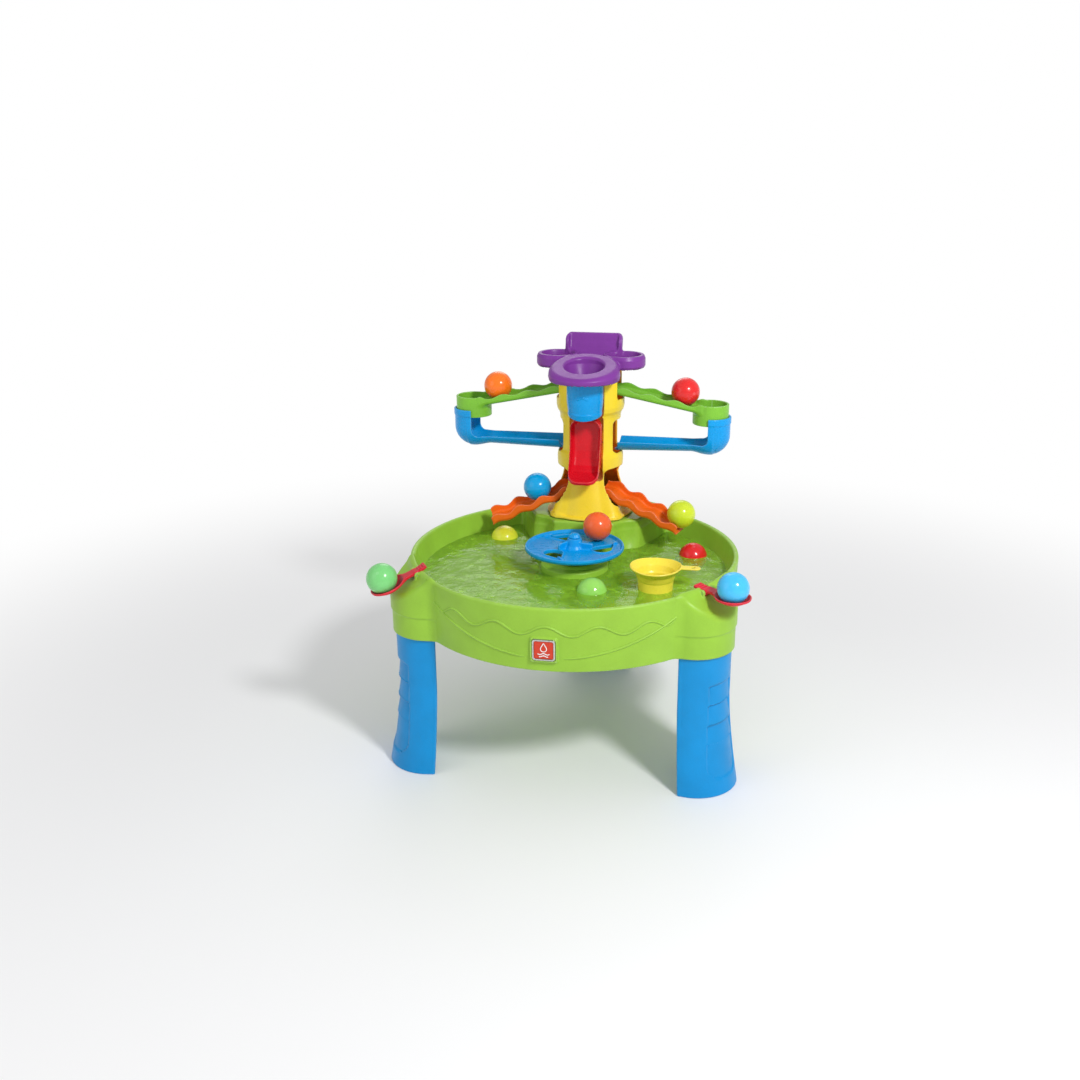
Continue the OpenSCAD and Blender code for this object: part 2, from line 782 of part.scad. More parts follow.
// A fin sweeps round as it runs out from the hub
fin_t = 5;
fin_steps = 10;
function fin_point(k, inset, lead) = let (
    a = 60 * k / fin_steps + lead,
    r = 14 + (spinner_r - 26) * k / fin_steps - inset
) [r * cos(a), r * sin(a)];
module spinner() {
    color(toy_blue) at_basin() difference() {
        union() {
            rotate_extrude($fn = 144) polygon([
                [post_r - 1, spinner_low], [18, spinner_low],
                [22, spinner_z - 6], [spinner_r - 8, spinner_z - 5],
                [spinner_r - 2, spinner_z - 3], [spinner_r, spinner_z + 2], [spinner_r - 1, spinner_z + 7],
                [spinner_r - 5, spinner_z + 7], [spinner_r - 8, spinner_z + 1], [24, spinner_z],
                [19, spinner_z + 8], [16, spinner_z + 24], [post_r - 1, spinner_z + 24]
            ]);
            for (i = [0:2]) rotate([0, 0, 120 * i - 35]) translate([0, 0, spinner_z - 3])
                linear_extrude(20) polygon(concat(
                    [for (k = [0:fin_steps]) fin_point(k, 0, 0)],
                    [for (k = [fin_steps:-1:0]) fin_point(k, fin_t, 2)]
                ));
        }
        for (i = [0:2]) rotate([0, 0, 120 * i - 8]) translate([68, 0, spinner_z - 20])
            linear_extrude(60) rotate(70) teardrop_2d(22, 44);
        translate([0, 0, spinner_low - 10]) cylinder(r = post_r + 0.06, h = 100, $fn = 64);
    }
}
module spinner_cap() {
    color(toy_blue) at_basin() translate([0, 0, spinner_z + 24.6]) difference() {
        rotate_extrude($fn = 64) polygon([[0, 0], [14, 0], [14, 4], [10, 9], [5, 11], [0, 11.5]]);
        translate([0, 0, -1]) cylinder(r = post_r, h = 6.4, $fn = 64);
    }
}

// ---------------------------------------------------------------- paddles

// The bowl is a cap of a sphere
bowl_t = 2.5;
bowl_depth = 16;
bowl_in = bowl_r - bowl_t;
cap_r = (bowl_in * bowl_in + bowl_depth * bowl_depth) / (2 * bowl_depth);
bowl_top = 5;
function cap_point(r, x) = [x, bowl_top + cap_r - bowl_depth - sqrt(r * r - x * x)];
module paddle_shape() {
    // Local frame: pivot at the origin, +X out to the bowl
    n = 8;
    difference() {
        union() {
            translate([bowl_reach, 0, 0]) rotate_extrude($fn = 96) polygon(concat(
                [for (i = [0:n]) cap_point(cap_r + bowl_t, bowl_in * i / n)],
                [[bowl_r, bowl_top - 2], [bowl_r, bowl_top], [bowl_in, bowl_top]],
                [for (i = [n:-1:0]) cap_point(cap_r, bowl_in * i / n)]
            ));
            // Neck and rising tail
            translate([0, neck_half, 0]) rotate([90, 0, 0]) linear_extrude(2 * neck_half)
            polygon([[-28, 5], [-12, 2], [0, 1], [bowl_reach - bowl_in + 2, 0],
                [bowl_reach - bowl_in + 3, bowl_top], [0, 7], [-12, 8], [-28, 11]]);
            // Barrel round the pivot pin
            rotate([90, 0, 0]) translate([0, 0, -neck_half]) cylinder(r = 7, h = 2 * neck_half, $fn = 64);
        }
        rotate([90, 0, 0]) translate([0, 0, -40]) cylinder(r = pin_r + 0.06, h = 80, $fn = 64);
    }
}
module paddle_at(dir, tilt) {
    at_dir(dir) translate([paddle_r, 0, paddle_z]) rotate([0, tilt, 0]) children();
}
module paddle_left() { color(red) paddle_at(paddle_left_dir, left_tilt) paddle_shape(); }
module paddle_right() { color(red) paddle_at(paddle_right_dir, 0) paddle_shape(); }
pin_half = neck_half + gap + lug_t + 0.5;
module paddle_pin(dir) {
    color(steel) paddle_at(dir, 0) rotate([90, 0, 0])
    translate([0, 0, -pin_half]) cylinder(r = pin_r, h = 2 * pin_half, $fn = 48);
}
module paddle_pin_left() { paddle_pin(paddle_left_dir); }
module paddle_pin_right() { paddle_pin(paddle_right_dir); }

// ---------------------------------------------------------------- loose pieces

cup_pos = [205, -105];
module pour_cup() {
    crown_r = 38;
    color(yellow) at_basin() translate([cup_pos[0], cup_pos[1], floor_z + gap]) difference() {
        union() {
            rotate_extrude($fn = 96) polygon([
                [0, 0], [crown_r - 4, 0], [crown_r, 4],
                [crown_r + 4, cup_h * 0.68], [crown_r + 10, cup_h * 0.82],
                [brim_r, cup_h - 3], [brim_r, cup_h], [brim_r - 3, cup_h], [crown_r + 7, cup_h * 0.84],
                [crown_r + 1, cup_h * 0.69], [crown_r - 3, 6], [crown_r - 6, 3], [0, 3]
            ]);
            translate([brim_r - 4, -11, cup_h - 4]) cube([34, 22, 4]);
            translate([brim_r + 30, 0, cup_h - 4]) cylinder(r = 11, h = 4, $fn = 48);
        }
        translate([0, 0, 10]) cylinder(r = crown_r - 4, h = cup_h, $fn = 64);
        translate([brim_r + 24, 0, cup_h - 10]) cylinder(r = 5, h = 20, $fn = 48);
    }
}

ball_t = 1.2;
// Places of the loose balls, from the basin's axis
spinner_ball_at = [46, 58, spinner_z + ball_r + 1.2];
pool_ball_z = floor_z + ball_r + gap;
module ball(c, p) {
    color(c) translate(p) difference() {
        sphere(d = ball_d, $fn = 96);
        sphere(d = ball_d - 2 * ball_t, $fn = 96);
    }
}
// The ball lies at the lowest point of the tilted bowl
module ball_in_paddle(c, dir, tilt) {
    roll = cap_r - ball_r - gap;
    cap_c = [bowl_reach, bowl_top + cap_r - bowl_depth];
    x = cap_c[0] * cos(tilt) + cap_c[1] * sin(tilt);
    z = -cap_c[0] * sin(tilt) + cap_c[1] * cos(tilt);
    paddle_at(dir, 0) ball(c, [x, 0, z - roll]);
}
module ball_paddle_left() { ball_in_paddle([0.4, 0.78, 0.4], paddle_left_dir, left_tilt); }
module ball_paddle_right() { ball_in_paddle([0.35, 0.7, 0.9], paddle_right_dir, 0); }
module ball_spinner() { at_basin() ball([0.95, 0.35, 0.2], spinner_ball_at); }
module ball_basin_back() { at_basin() ball([0.85, 0.9, 0.2], [-216, 195, pool_ball_z]); }
module ball_basin_front() { at_basin() ball([0.5, 0.85, 0.3], [64, -142, pool_ball_z]); }
module ball_basin_right() { at_basin() ball([0.87, 0.1, 0.15], [272, 140, pool_ball_z]); }

ball_on_upper = 234;
module ball_on_upper_ramp(c, side) {
    lift = (ball_r + 0.6) / cos(upper_angle) + (loop_x - ball_on_upper) * tan(upper_angle);
    at_tower() mirrored(side) ball(c, [ball_on_upper, 0, upper_floor + lift]);
}
module ball_upper_left() { ball_on_upper_ramp([0.97, 0.45, 0.13], -1); }
module ball_upper_right() { ball_on_upper_ramp([0.87, 0.15, 0.17], 1); }

module ball_on_lower_ramp(c, side, s) {
    at_tower() mirrored(side) translate(lower_start) rotate([0, 0, -lower_turn])
    rotate([0, lower_fall, 0]) ball(c, [s, 0, lower_wave + ball_r + gap]);
}
module ball_lower_left() { ball_on_lower_ramp([0.0, 0.6, 0.85], -1, crest); }
module ball_lower_right() { ball_on_lower_ramp([0.8, 0.85, 0.15], 1, crest + 2 * wave_len); }

basin();
badge();
badge_frame();
drain_plug();
leg_front_left();
leg_front_right();
leg_rear();
leg_screws();
tower_front();
tower_back();
tower_screws();
base_screws();
ball_guide();
top_tray();
tray_screws();
drop_cup();
front_slide();
upper_ramp_left();
upper_ramp_right();
return_chute_left();
return_chute_right();
lower_ramp_left();
lower_ramp_right();
spinner_post();
spinner();
spinner_cap();
paddle_left();
paddle_right();
paddle_pin_left();
paddle_pin_right();
pour_cup();
ball_paddle_left();
ball_paddle_right();
ball_spinner();
ball_basin_back();
ball_basin_front();
ball_basin_right();
ball_upper_left();
ball_upper_right();
ball_lower_left();
ball_lower_right();
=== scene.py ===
import json
import math

import bpy
import numpy as np
from mathutils import Matrix, Vector

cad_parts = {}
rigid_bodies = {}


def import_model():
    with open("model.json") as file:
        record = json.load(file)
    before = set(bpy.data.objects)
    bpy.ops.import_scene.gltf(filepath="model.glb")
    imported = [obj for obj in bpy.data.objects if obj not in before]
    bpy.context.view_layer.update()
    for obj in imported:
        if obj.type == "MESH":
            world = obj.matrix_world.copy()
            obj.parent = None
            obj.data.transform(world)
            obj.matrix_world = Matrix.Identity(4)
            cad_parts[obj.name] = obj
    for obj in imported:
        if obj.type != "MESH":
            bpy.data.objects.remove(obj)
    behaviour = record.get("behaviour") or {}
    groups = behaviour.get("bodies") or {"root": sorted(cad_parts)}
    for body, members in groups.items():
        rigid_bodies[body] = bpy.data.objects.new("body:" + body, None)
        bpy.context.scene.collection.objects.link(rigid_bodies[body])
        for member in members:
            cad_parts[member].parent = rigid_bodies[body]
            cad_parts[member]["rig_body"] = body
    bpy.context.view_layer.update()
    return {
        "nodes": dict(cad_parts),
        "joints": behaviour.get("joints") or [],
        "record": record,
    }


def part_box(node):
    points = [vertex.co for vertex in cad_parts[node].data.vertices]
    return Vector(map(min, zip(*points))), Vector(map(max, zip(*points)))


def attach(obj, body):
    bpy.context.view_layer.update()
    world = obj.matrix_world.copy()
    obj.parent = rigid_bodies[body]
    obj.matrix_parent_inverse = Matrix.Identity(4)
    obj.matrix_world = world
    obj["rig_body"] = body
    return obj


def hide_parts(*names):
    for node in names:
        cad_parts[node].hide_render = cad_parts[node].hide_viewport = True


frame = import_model()

# Shapes are written in millimetres, as signed distances: negative inside, positive outside.
MM = 0.001
COARSE = 1.0

joints = {j["name"]: j for j in frame["joints"]}
mounts = {m["name"]: m for m in frame["record"]["mounts"]}


def on_ground(point):
    """The point on the floor under a point of the frame, in millimetres."""
    return np.array([point[0] / MM, point[1] / MM, 0.0])


def span(node, origin):
    """Lowest and highest corner of a CAD node, in millimetres from an origin."""
    low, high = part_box(node)
    return np.array(low) / MM - origin, np.array(high) / MM - origin


BASIN = on_ground(joints["spinner_spin"]["pos_m"])
tower_low, tower_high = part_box("tower_back")
TOWER = on_ground([(tower_low.x + tower_high.x) / 2, tower_low.y])


# ---------------------------------------------------------------- distances

def join(a, b, r=0.01):
    """Union of two shapes, with a fillet of radius r where they meet."""
    return np.maximum(r, np.minimum(a, b)) - np.hypot(np.maximum(r - a, 0), np.maximum(r - b, 0))


def meet(a, b, r=0.01):
    """Where two shapes overlap, with its new edge rounded by r."""
    return -join(-a, -b, r)


def cut(a, b, r=0.01):
    """The first shape without the second, with its new edge rounded by r."""
    return -join(-a, b, r)


def slab(u, v, half_u, half_v, r=0.0):
    """Rectangle in a plane, with corners of radius r."""
    du = np.abs(u) - half_u + r
    dv = np.abs(v) - half_v + r
    return np.hypot(np.maximum(du, 0), np.maximum(dv, 0)) + np.minimum(np.maximum(du, dv), 0) - r


def block(x, y, z, low, high, r=0.0):
    """Box between two corners, with its edges rounded by r."""
    parts = []
    for value, a, b in zip((x, y, z), low, high):
        parts.append(np.abs(value - (a + b) / 2) - (b - a) / 2 + r)
    outside = np.sqrt(sum(np.maximum(p, 0) ** 2 for p in parts))
    return outside + np.minimum(np.maximum(np.maximum(parts[0], parts[1]), parts[2]), 0) - r


def outline(u, v, points, r=0.0):
    """Closed polygon in a plane, grown by r so that its corners are round."""
    best = np.full(np.shape(u), 1e12)
    sign = np.ones(np.shape(u))
    for (au, av), (bu, bv) in zip(points, points[1:] + points[:1]):
        eu, ev = bu - au, bv - av
        wu, wv = u - au, v - av
        t = np.clip((wu * eu + wv * ev) / (eu * eu + ev * ev), 0, 1)
        best = np.minimum(best, (wu - t * eu) ** 2 + (wv - t * ev) ** 2)
        above, below, left = v >= av, v < bv, eu * wv > ev * wu
        sign = np.where((above & below & left) | ~(above | below | left), -sign, sign)
    return sign * np.sqrt(best) - r


def drop(u, v, big, small, reach):
    """A round of radius big at the origin drawn out along +v to a round of radius small."""
    u = np.abs(u)
    b = (big - small) / reach
    a = math.sqrt(1 - b * b)
    k = a * v - b * u
    side = a * u + b * v - big
    tip = np.hypot(u, v - reach) - small
    return np.where(k < 0, np.hypot(u, v) - big, np.where(k > a * reach, tip, side))


def turned(x, y, degrees):
    """Coordinates in a frame that is turned about +Z."""
    c, s = math.cos(math.radians(degrees)), math.sin(math.radians(degrees))
    return x * c + y * s, y * c - x * s


def tipped(x, z, degrees):
    """Coordinates in a frame whose +X end is tipped down about +Y."""
    c, s = math.cos(math.radians(degrees)), math.sin(math.radians(degrees))
    return x * c - z * s, x * s + z * c


def ease(t):
    """Smooth step from 0 to 1."""
    t = np.clip(t, 0, 1)
    return t * t * (3 - 2 * t)


# ---------------------------------------------------------------- meshes

BLOCK = 4


def sample(field, low, high, cell):
    """Values of a field on a grid. Only the blocks near its surface are worked out in full."""
    blocks = np.ceil((high - low) / (cell * BLOCK)).astype(int)
    middles = [low[k] + cell * (BLOCK * np.arange(blocks[k]) + (BLOCK - 1) / 2) for k in range(3)]
    coarse = field(*(m.ravel() for m in np.meshgrid(*middles, indexing="ij"))).reshape(blocks)
    near = np.abs(coarse) < cell * BLOCK * 1.3
    for k in range(3):
        coarse, near = np.repeat(coarse, BLOCK, k), np.repeat(near, BLOCK, k)
    place = np.argwhere(near)
    coarse[near] = field(*(low + place * cell).T)
    return coarse


def slope(field, points, step):
    """Unit gradient of a field."""
    parts = []
    for k in range(3):
        move = np.zeros(3)
        move[k] = step
        parts.append(field(*(points + move).T) - field(*(points - move).T))
    g = np.stack(parts, 1)
    return g / np.maximum(np.linalg.norm(g, axis=1, keepdims=True), 1e-9)


def skin(field, low, high, cell):
    """Closed quad mesh round a shape: points, faces and normals."""
    grid = sample(field, low, high, cell)
    solid = grid < 0
    n = grid.shape
    steps = [(i, j, k) for i in (0, 1) for j in (0, 1) for k in (0, 1)]

    def corner(array, s):
        return array[s[0]:n[0] - 1 + s[0], s[1]:n[1] - 1 + s[1], s[2]:n[2] - 1 + s[2]]

    count = sum(corner(solid, s).astype(np.int8) for s in steps)
    cells = np.argwhere((count > 0) & (count < 8))
    number = np.full((n[0] - 1, n[1] - 1, n[2] - 1), -1)
    number[tuple(cells.T)] = np.arange(len(cells))
    total, crossings = np.zeros((len(cells), 3)), np.zeros(len(cells))
    for a in steps:
        for axis in range(3):
            if a[axis]:
                continue
            b = tuple(a[k] + (k == axis) for k in range(3))
            va, vb = grid[tuple((cells + a).T)], grid[tuple((cells + b).T)]
            hit = (va < 0) != (vb < 0)
            t = np.where(hit, va / np.where(hit, va - vb, 1), 0)
            point = np.array(a) + t[:, None] * (np.array(b) - np.array(a))
            total += point * hit[:, None]
            crossings += hit
    points = low + (cells + total / crossings[:, None]) * cell
    faces = []
    for axis in range(3):
        order = (axis, (axis + 1) % 3, (axis + 2) % 3)
        s, m = solid.transpose(order), number.transpose(order)
        i, j, k = np.nonzero(s[:-1, 1:-1, 1:-1] != s[1:, 1:-1, 1:-1])
        quad = np.stack([m[i, j, k], m[i, j + 1, k], m[i, j + 1, k + 1], m[i, j, k + 1]], 1)
        outward = s[:-1, 1:-1, 1:-1][i, j, k]
        quad[~outward] = quad[~outward][:, ::-1]
        faces.append(quad)
    faces = np.concatenate(faces)
    start = points.copy()
    for _ in range(3):
        push = np.clip(field(*points.T), -cell / 2, cell / 2)
        points -= push[:, None] * slope(field, points, cell / 8)
    strayed = points - start
    length = np.linalg.norm(strayed, axis=1, keepdims=True)
    points = start + strayed * np.minimum(1, 0.8 * cell / np.maximum(length, 1e-9))
    # On a thin edge the field's slope can belong to the far side, so it has to agree with the faces.
    a, b, c, d = (points[faces[:, k]] for k in range(4))
    across = np.cross(c - a, d - b)
    flat = np.stack([sum(np.bincount(faces[:, k], across[:, axis], len(points)) for k in range(4))
                     for axis in range(3)], 1)
    flat /= np.maximum(np.linalg.norm(flat, axis=1, keepdims=True), 1e-9)
    normals = slope(field, points, cell / 5)
    wrong = (normals * flat).sum(1) < 0.6
    normals[wrong] = flat[wrong]
    return points, faces, normals


def add_mesh(name, points, faces, normals=None):
    """Blender object from points in millimetres of the frame."""
    mesh = bpy.data.meshes.new(name)
    mesh.from_pydata((np.asarray(points) * MM).tolist(), [], faces)
    mesh.shade_smooth()
    if normals is not None:
        mesh.normals_split_custom_set_from_vertices(normals.tolist())
    piece = bpy.data.objects.new(name, mesh)
    bpy.context.scene.collection.objects.link(piece)
    return piece


def settle(piece, node, material):
    """Gives a piece its material, and lets it stand for a CAD node on that node's body."""
    piece.data.materials.append(material)
    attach(piece, frame["nodes"][node]["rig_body"])
    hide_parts(node)
    return piece


ROOM = 9.0


def mould(name, node, origin, field, cell, material, painted_shade_or_print=None):
    """A moulded piece: the skin of a field that is given in millimetres from an origin."""
    cell = cell * COARSE
    low, high = span(node, origin)
    points, faces, normals = skin(field, low - ROOM, high + ROOM, cell)
    piece = add_mesh(name, points + origin, faces.tolist(), normals)
    # The mask set here picks a second colour: painted shade on the tower's inner faces, the printed mark on
    # the badge.
    if painted_shade_or_print is not None:
        layer = piece.data.attributes.new("shade", "FLOAT", "POINT")
        layer.data.foreach_set("value", painted_shade_or_print(*points.T, normals).astype(np.float32))
    return settle(piece, node, material)


def flipped(field):
    """The mirror image of a shape, from right to left."""
    return lambda x, y, z: field(-x, y, z)


SIDES = (("left", flipped), ("right", lambda field: field))


BEAD_SIDES = 12


def sweep(points, ups, half_width, height):
    """A closed bead along points, half sunk in the surface whose normals are ups."""
    points, ups = np.array(points), np.array(ups)
    along = np.gradient(points, axis=0)
    along /= np.linalg.norm(along, axis=1, keepdims=True)
    across = np.cross(along, ups)
    count = len(points)
    fade = np.sqrt(np.clip(1 - np.abs(np.linspace(-1, 1, count)) ** 12, 0.02, 1))
    rings = []
    for i in range(BEAD_SIDES):
        a = 2 * math.pi * i / BEAD_SIDES
        offset = half_width * math.cos(a) * across + height * math.sin(a) * ups
        rings.append(points + fade[:, None] * offset)
    body = np.stack(rings, 1).reshape(-1, 3)
    faces = []
    for i in range(count - 1):
        here, there = i * BEAD_SIDES, (i + 1) * BEAD_SIDES
        for k in range(BEAD_SIDES):
            m = (k + 1) % BEAD_SIDES
            faces.append([here + k, there + k, there + m, here + m])
    ends = [list(range(BEAD_SIDES)), [(count - 1) * BEAD_SIDES + k for k in range(BEAD_SIDES)][::-1]]
    return body, faces, ends


# ---------------------------------------------------------------- materials

def nodes_of(name):
    material = bpy.data.materials.new(name)
    material.use_nodes = True
    tree = material.node_tree
    return material, tree, tree.nodes["Principled BSDF"]


def noise(tree, scale, detail=2.0):
    """Noise in object coordinates. scale is in waves per metre."""
    where = tree.nodes.new("ShaderNodeTexCoord")
    made = tree.nodes.new("ShaderNodeTexNoise")
    made.inputs["Scale"].default_value = scale
    made.inputs["Detail"].default_value = detail
    tree.links.new(where.outputs["Object"], made.inputs["Vector"])
    return made.outputs["Fac"]


def ramp(tree, value, stops):
    """A colour ramp. stops are pairs of a place and a grey or a colour."""
    made = tree.nodes.new("ShaderNodeValToRGB")
    elements = made.color_ramp.elements
    for i, (place, colour) in enumerate(stops):
        element = elements[i] if i < 2 else elements.new(place)
        element.position = place
        element.color = (*colour, 1) if isinstance(colour, tuple) else (colour, colour, colour, 1)
    tree.links.new(value, made.inputs["Fac"])
    return made.outputs["Color"]


def mixed(tree, kind, factor, a, b):
    """Mix of two colours. Each input is a number, a colour or a socket."""
    made = tree.nodes.new("ShaderNodeMix")
    made.data_type = "RGBA"
    made.blend_type = kind
    for socket, value in ((made.inputs[0], factor), (made.inputs[6], a), (made.inputs[7], b)):
        if isinstance(value, bpy.types.NodeSocket):
            tree.links.new(value, socket)
        elif isinstance(value, tuple):
            socket.default_value = (*value, 1)
        else:
            socket.default_value = value
    return made.outputs[2]


def shade(colour, k):
    return tuple(min(1.0, c * k) for c in colour)


def plastic(name, colour, rough=0.34, relief=0.05, inner=None, coat=0.0, soft=0.0):
    """Moulded plastic: slightly uneven colour, paler on sharp convex edges, a fine skin of orange peel. inner
    is a second colour mixed in by the shade attribute: painted shade on the tower's inner faces, the printed
    mark on the badge.
    """
    material, tree, shader = nodes_of(name)
    patches = ramp(tree, noise(tree, 14, 3), [(0.3, shade(colour, 0.93)), (0.7, shade(colour, 1.05))])
    specks = ramp(tree, noise(tree, 420, 2), [(0.35, 0.86), (0.62, 1.0)])
    base = mixed(tree, "MULTIPLY", 0.35, patches, specks)
    # inner is painted shade on the tower's inner faces, and the printed mark on the badge.
    if inner:
        layer = tree.nodes.new("ShaderNodeAttribute")
        layer.attribute_name = "shade"
        base = mixed(tree, "MIX", layer.outputs["Fac"], base, inner)
    # Paler colour on sharp convex edges, driven by pointiness.
    edges = tree.nodes.new("ShaderNodeNewGeometry")
    paler_edges = ramp(tree, edges.outputs["Pointiness"], [(0.52, 0.0), (0.62, 0.22)])
    base = mixed(tree, "MIX", paler_edges, base, tuple(0.55 * c + 0.45 for c in colour))
    tree.links.new(base, shader.inputs["Base Color"])
    gloss = ramp(tree, noise(tree, 60, 4), [(0.3, rough - 0.05), (0.75, rough + 0.08)])
    tree.links.new(gloss, shader.inputs["Roughness"])
    bump = tree.nodes.new("ShaderNodeBump")
    bump.inputs["Strength"].default_value = relief
    bump.inputs["Distance"].default_value = 0.0006
    tree.links.new(noise(tree, 900, 3), bump.inputs["Height"])
    tree.links.new(bump.outputs["Normal"], shader.inputs["Normal"])
    shader.inputs["IOR"].default_value = 1.49
    shader.inputs["Specular IOR Level"].default_value = 0.3
    shader.inputs["Coat Weight"].default_value = coat
    shader.inputs["Coat Roughness"].default_value = 0.12
    if soft:
        shader.inputs["Subsurface Weight"].default_value = soft
        shader.inputs["Subsurface Radius"].default_value = (0.004, 0.004, 0.004)
    return material


def steel(name):
    """Zinc-plated screws, brushed and slightly spotted."""
    material, tree, shader = nodes_of(name)
    base = ramp(tree, noise(tree, 300, 4), [(0.35, (0.5, 0.5, 0.48)), (0.7, (0.72, 0.72, 0.72))])
    tree.links.new(base, shader.inputs["Base Color"])
    shader.inputs["Metallic"].default_value = 1.0
    tree.links.new(ramp(tree, noise(tree, 900, 2), [(0.3, 0.28), (0.7, 0.45)]), shader.inputs["Roughness"])
    return material


LIME = plastic("lime_moulding", (0.29, 0.53, 0.045), rough=0.36, relief=0.08)
LEG_BLUE = plastic("leg_moulding", (0.0, 0.26, 0.62), rough=0.36, relief=0.1)
TOY_BLUE = plastic("toy_blue_moulding", (0.0, 0.31, 0.74), rough=0.28)
# inner is painted shade: amber on the tower's inner faces, where the yellow plastic lies in shadow.
YELLOW = plastic("yellow_moulding", (0.9, 0.66, 0.03), rough=0.32, inner=(0.86, 0.3, 0.01))
# inner is an amber painted shade for inner faces; the pour cup is given no shade attribute, so it does not
# show.
CUP_YELLOW = plastic("cup_moulding", (0.93, 0.75, 0.07), rough=0.3, inner=(0.9, 0.52, 0.03))
AMBER = plastic("guide_moulding", (0.86, 0.34, 0.02), rough=0.34)
PURPLE = plastic("purple_moulding", (0.2, 0.035, 0.3), rough=0.36, relief=0.08)
RED = plastic("slide_moulding", (0.68, 0.008, 0.02), rough=0.26)
PADDLE_RED = plastic("paddle_moulding", (0.66, 0.015, 0.035), rough=0.32)
LEAF = plastic("leaf_moulding", (0.2, 0.5, 0.04), rough=0.32)
ORANGE = plastic("orange_moulding", (0.88, 0.15, 0.01), rough=0.3)
STEEL = steel("screw_plating")


# ---------------------------------------------------------------- basin

RIM_R, RIM_Z = 387.0, 478.0
SKIRT_R, SKIRT_Z = 380.0, 332.0
POOL_TOP_R, POOL_LOW_R, POOL_Z = 376.0, 347.0, 388.0
HILL_Z = 503.0
WALL = 6.8
LEG_DIRS = {}
for name in ("left", "right", "rear"):
    foot = np.array(mounts["foot_" + name]["pos_m"]) / MM - BASIN
    LEG_DIRS[name] = math.degrees(math.atan2(foot[1], foot[0]))
LEG_CENTRE, LEG_R = 352.0, 84.0
BOSS_LOW_R, BOSS_HIGH_R, BOSS_STEP = 90.5, 93.5, 386.0
SHOULDER_IN, SHOULDER_OUT = (380.0, 475.0), (460.0, 414.0)
HILL_PLAN = [(-96, 124), (96, 124), (133, 172), (168, 250), (188, 316), (120, 352),
             (-120, 352), (-188, 316), (-168, 250), (-133, 172)]
PEDESTAL = [(0, 380), (94, 380), (94, 388), (88, 409), (79, 413), (76, 439), (65, 443), (61, 450), (0, 450)]
PADDLE_R = 391.0
paddle_pos = {side: np.array(joints[f"paddle_{side}_tilt"]["pos_m"]) / MM - BASIN
              for side in ("left", "right")}
PADDLE_Z = paddle_pos["left"][2]
PADDLE_DIRS = {side: math.degrees(math.atan2(p[1], p[0])) for side, p in paddle_pos.items()}
DRAIN = (np.array(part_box("drain_plug")[0]) + np.array(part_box("drain_plug")[1])) / 2 / MM - BASIN
BADGE_Z = (span("badge", BASIN)[0][2] + span("badge", BASIN)[1][2]) / 2


def skirt_radius(z):
    return SKIRT_R + (z - SKIRT_Z) * (RIM_R - SKIRT_R) / (RIM_Z - SKIRT_Z)


def boss(x, y, z):
    """One boss, about its own direction +X."""
    radius = BOSS_LOW_R + (BOSS_HIGH_R - BOSS_LOW_R) * ease((z - BOSS_STEP + 3) / 6)
    column = np.hypot(x - LEG_CENTRE, y) - radius
    run = np.array(SHOULDER_OUT) - np.array(SHOULDER_IN)
    run = run / np.linalg.norm(run)
    above = (z - SHOULDER_IN[1]) * run[0] - (x - SHOULDER_IN[0]) * run[1]
    return meet(meet(column, above, 9), SKIRT_R - 8 - x, 2)


def hill(x, y, z):
    """The platform, with sloping sides and a scoop on either side of its front."""
    sides = outline(x, y, HILL_PLAN) + 3 - (HILL_Z - z) * 0.09
    scoops = np.hypot(np.hypot(np.abs(x) - 128, y - 118), (z - 480) * 0.7) - 52
    body = meet(sides, z - HILL_Z, 7)
    return cut(body, scoops, 10)


def basin(x, y, z):
    r = np.hypot(x, y)
    block_out = meet(r - skirt_radius(z), z - RIM_Z, 5.5)
    for direction in LEG_DIRS.values():
        u, v = turned(x, y, direction)
        block_out = join(block_out, boss(u, v, z), 14)
    platform = hill(x, y, z)
    block_out = join(block_out, meet(platform, r - POOL_TOP_R - 4, 4), 6)
    pool_r = POOL_LOW_R + (z - POOL_Z) * (POOL_TOP_R - POOL_LOW_R) / (RIM_Z - POOL_Z)
    pool = meet(r - pool_r, POOL_Z - z, 18)
    pool = cut(pool, platform, 12)
    pool = cut(pool, outline(r, z, PEDESTAL, 4), 9)
    body = meet(block_out, SKIRT_Z - z, 2)
    body = cut(body, pool, 5)
    hollow = meet(block_out + WALL, WALL - pool, 4)
    for direction in LEG_DIRS.values():
        u, v = turned(x, y, direction)
        room = meet(np.hypot(u - LEG_CENTRE, v) - LEG_R - 1, z - 374, 2)
        hollow = join(hollow, room, 2)
    body = cut(body, hollow, 1.5)
    socket = slab(r, z - 436, 14, 16, 2)
    body = join(body, socket, 3)
    body = cut(body, np.hypot(x - DRAIN[0], y - DRAIN[1]) - 16.4, 2)
    for direction in PADDLE_DIRS.values():
        u, v = turned(x, y, direction)
        lug = join(block(u, np.abs(v), z, (385, 13.4, 452), (397.5, 21.4, PADDLE_Z), 1.5),
                   slab(np.hypot(u - PADDLE_R, z - PADDLE_Z), np.abs(v) - 17.4, 7, 4, 1.5), 1)
        saddle = block(u, v, z, (360, -13.6, PADDLE_Z - 8), (412, 13.6, 500), 3)
        body = cut(join(body, lug, 3), saddle, 1.5)
    pad = block(x, y, z, (-29, -388, BADGE_Z - 28), (29, -370, BADGE_Z + 28), 4)
    pocket = block(x, y, z, (-25.5, -400, BADGE_Z - 24.5), (25.5, -380.4, BADGE_Z + 24.5), 5)
    return cut(join(body, pad, 3), pocket, 1)


def smile(angle):
    """Height of the raised arc on the skirt, at an angle from the front in degrees."""
    return 362 + 0.0365 * angle ** 2


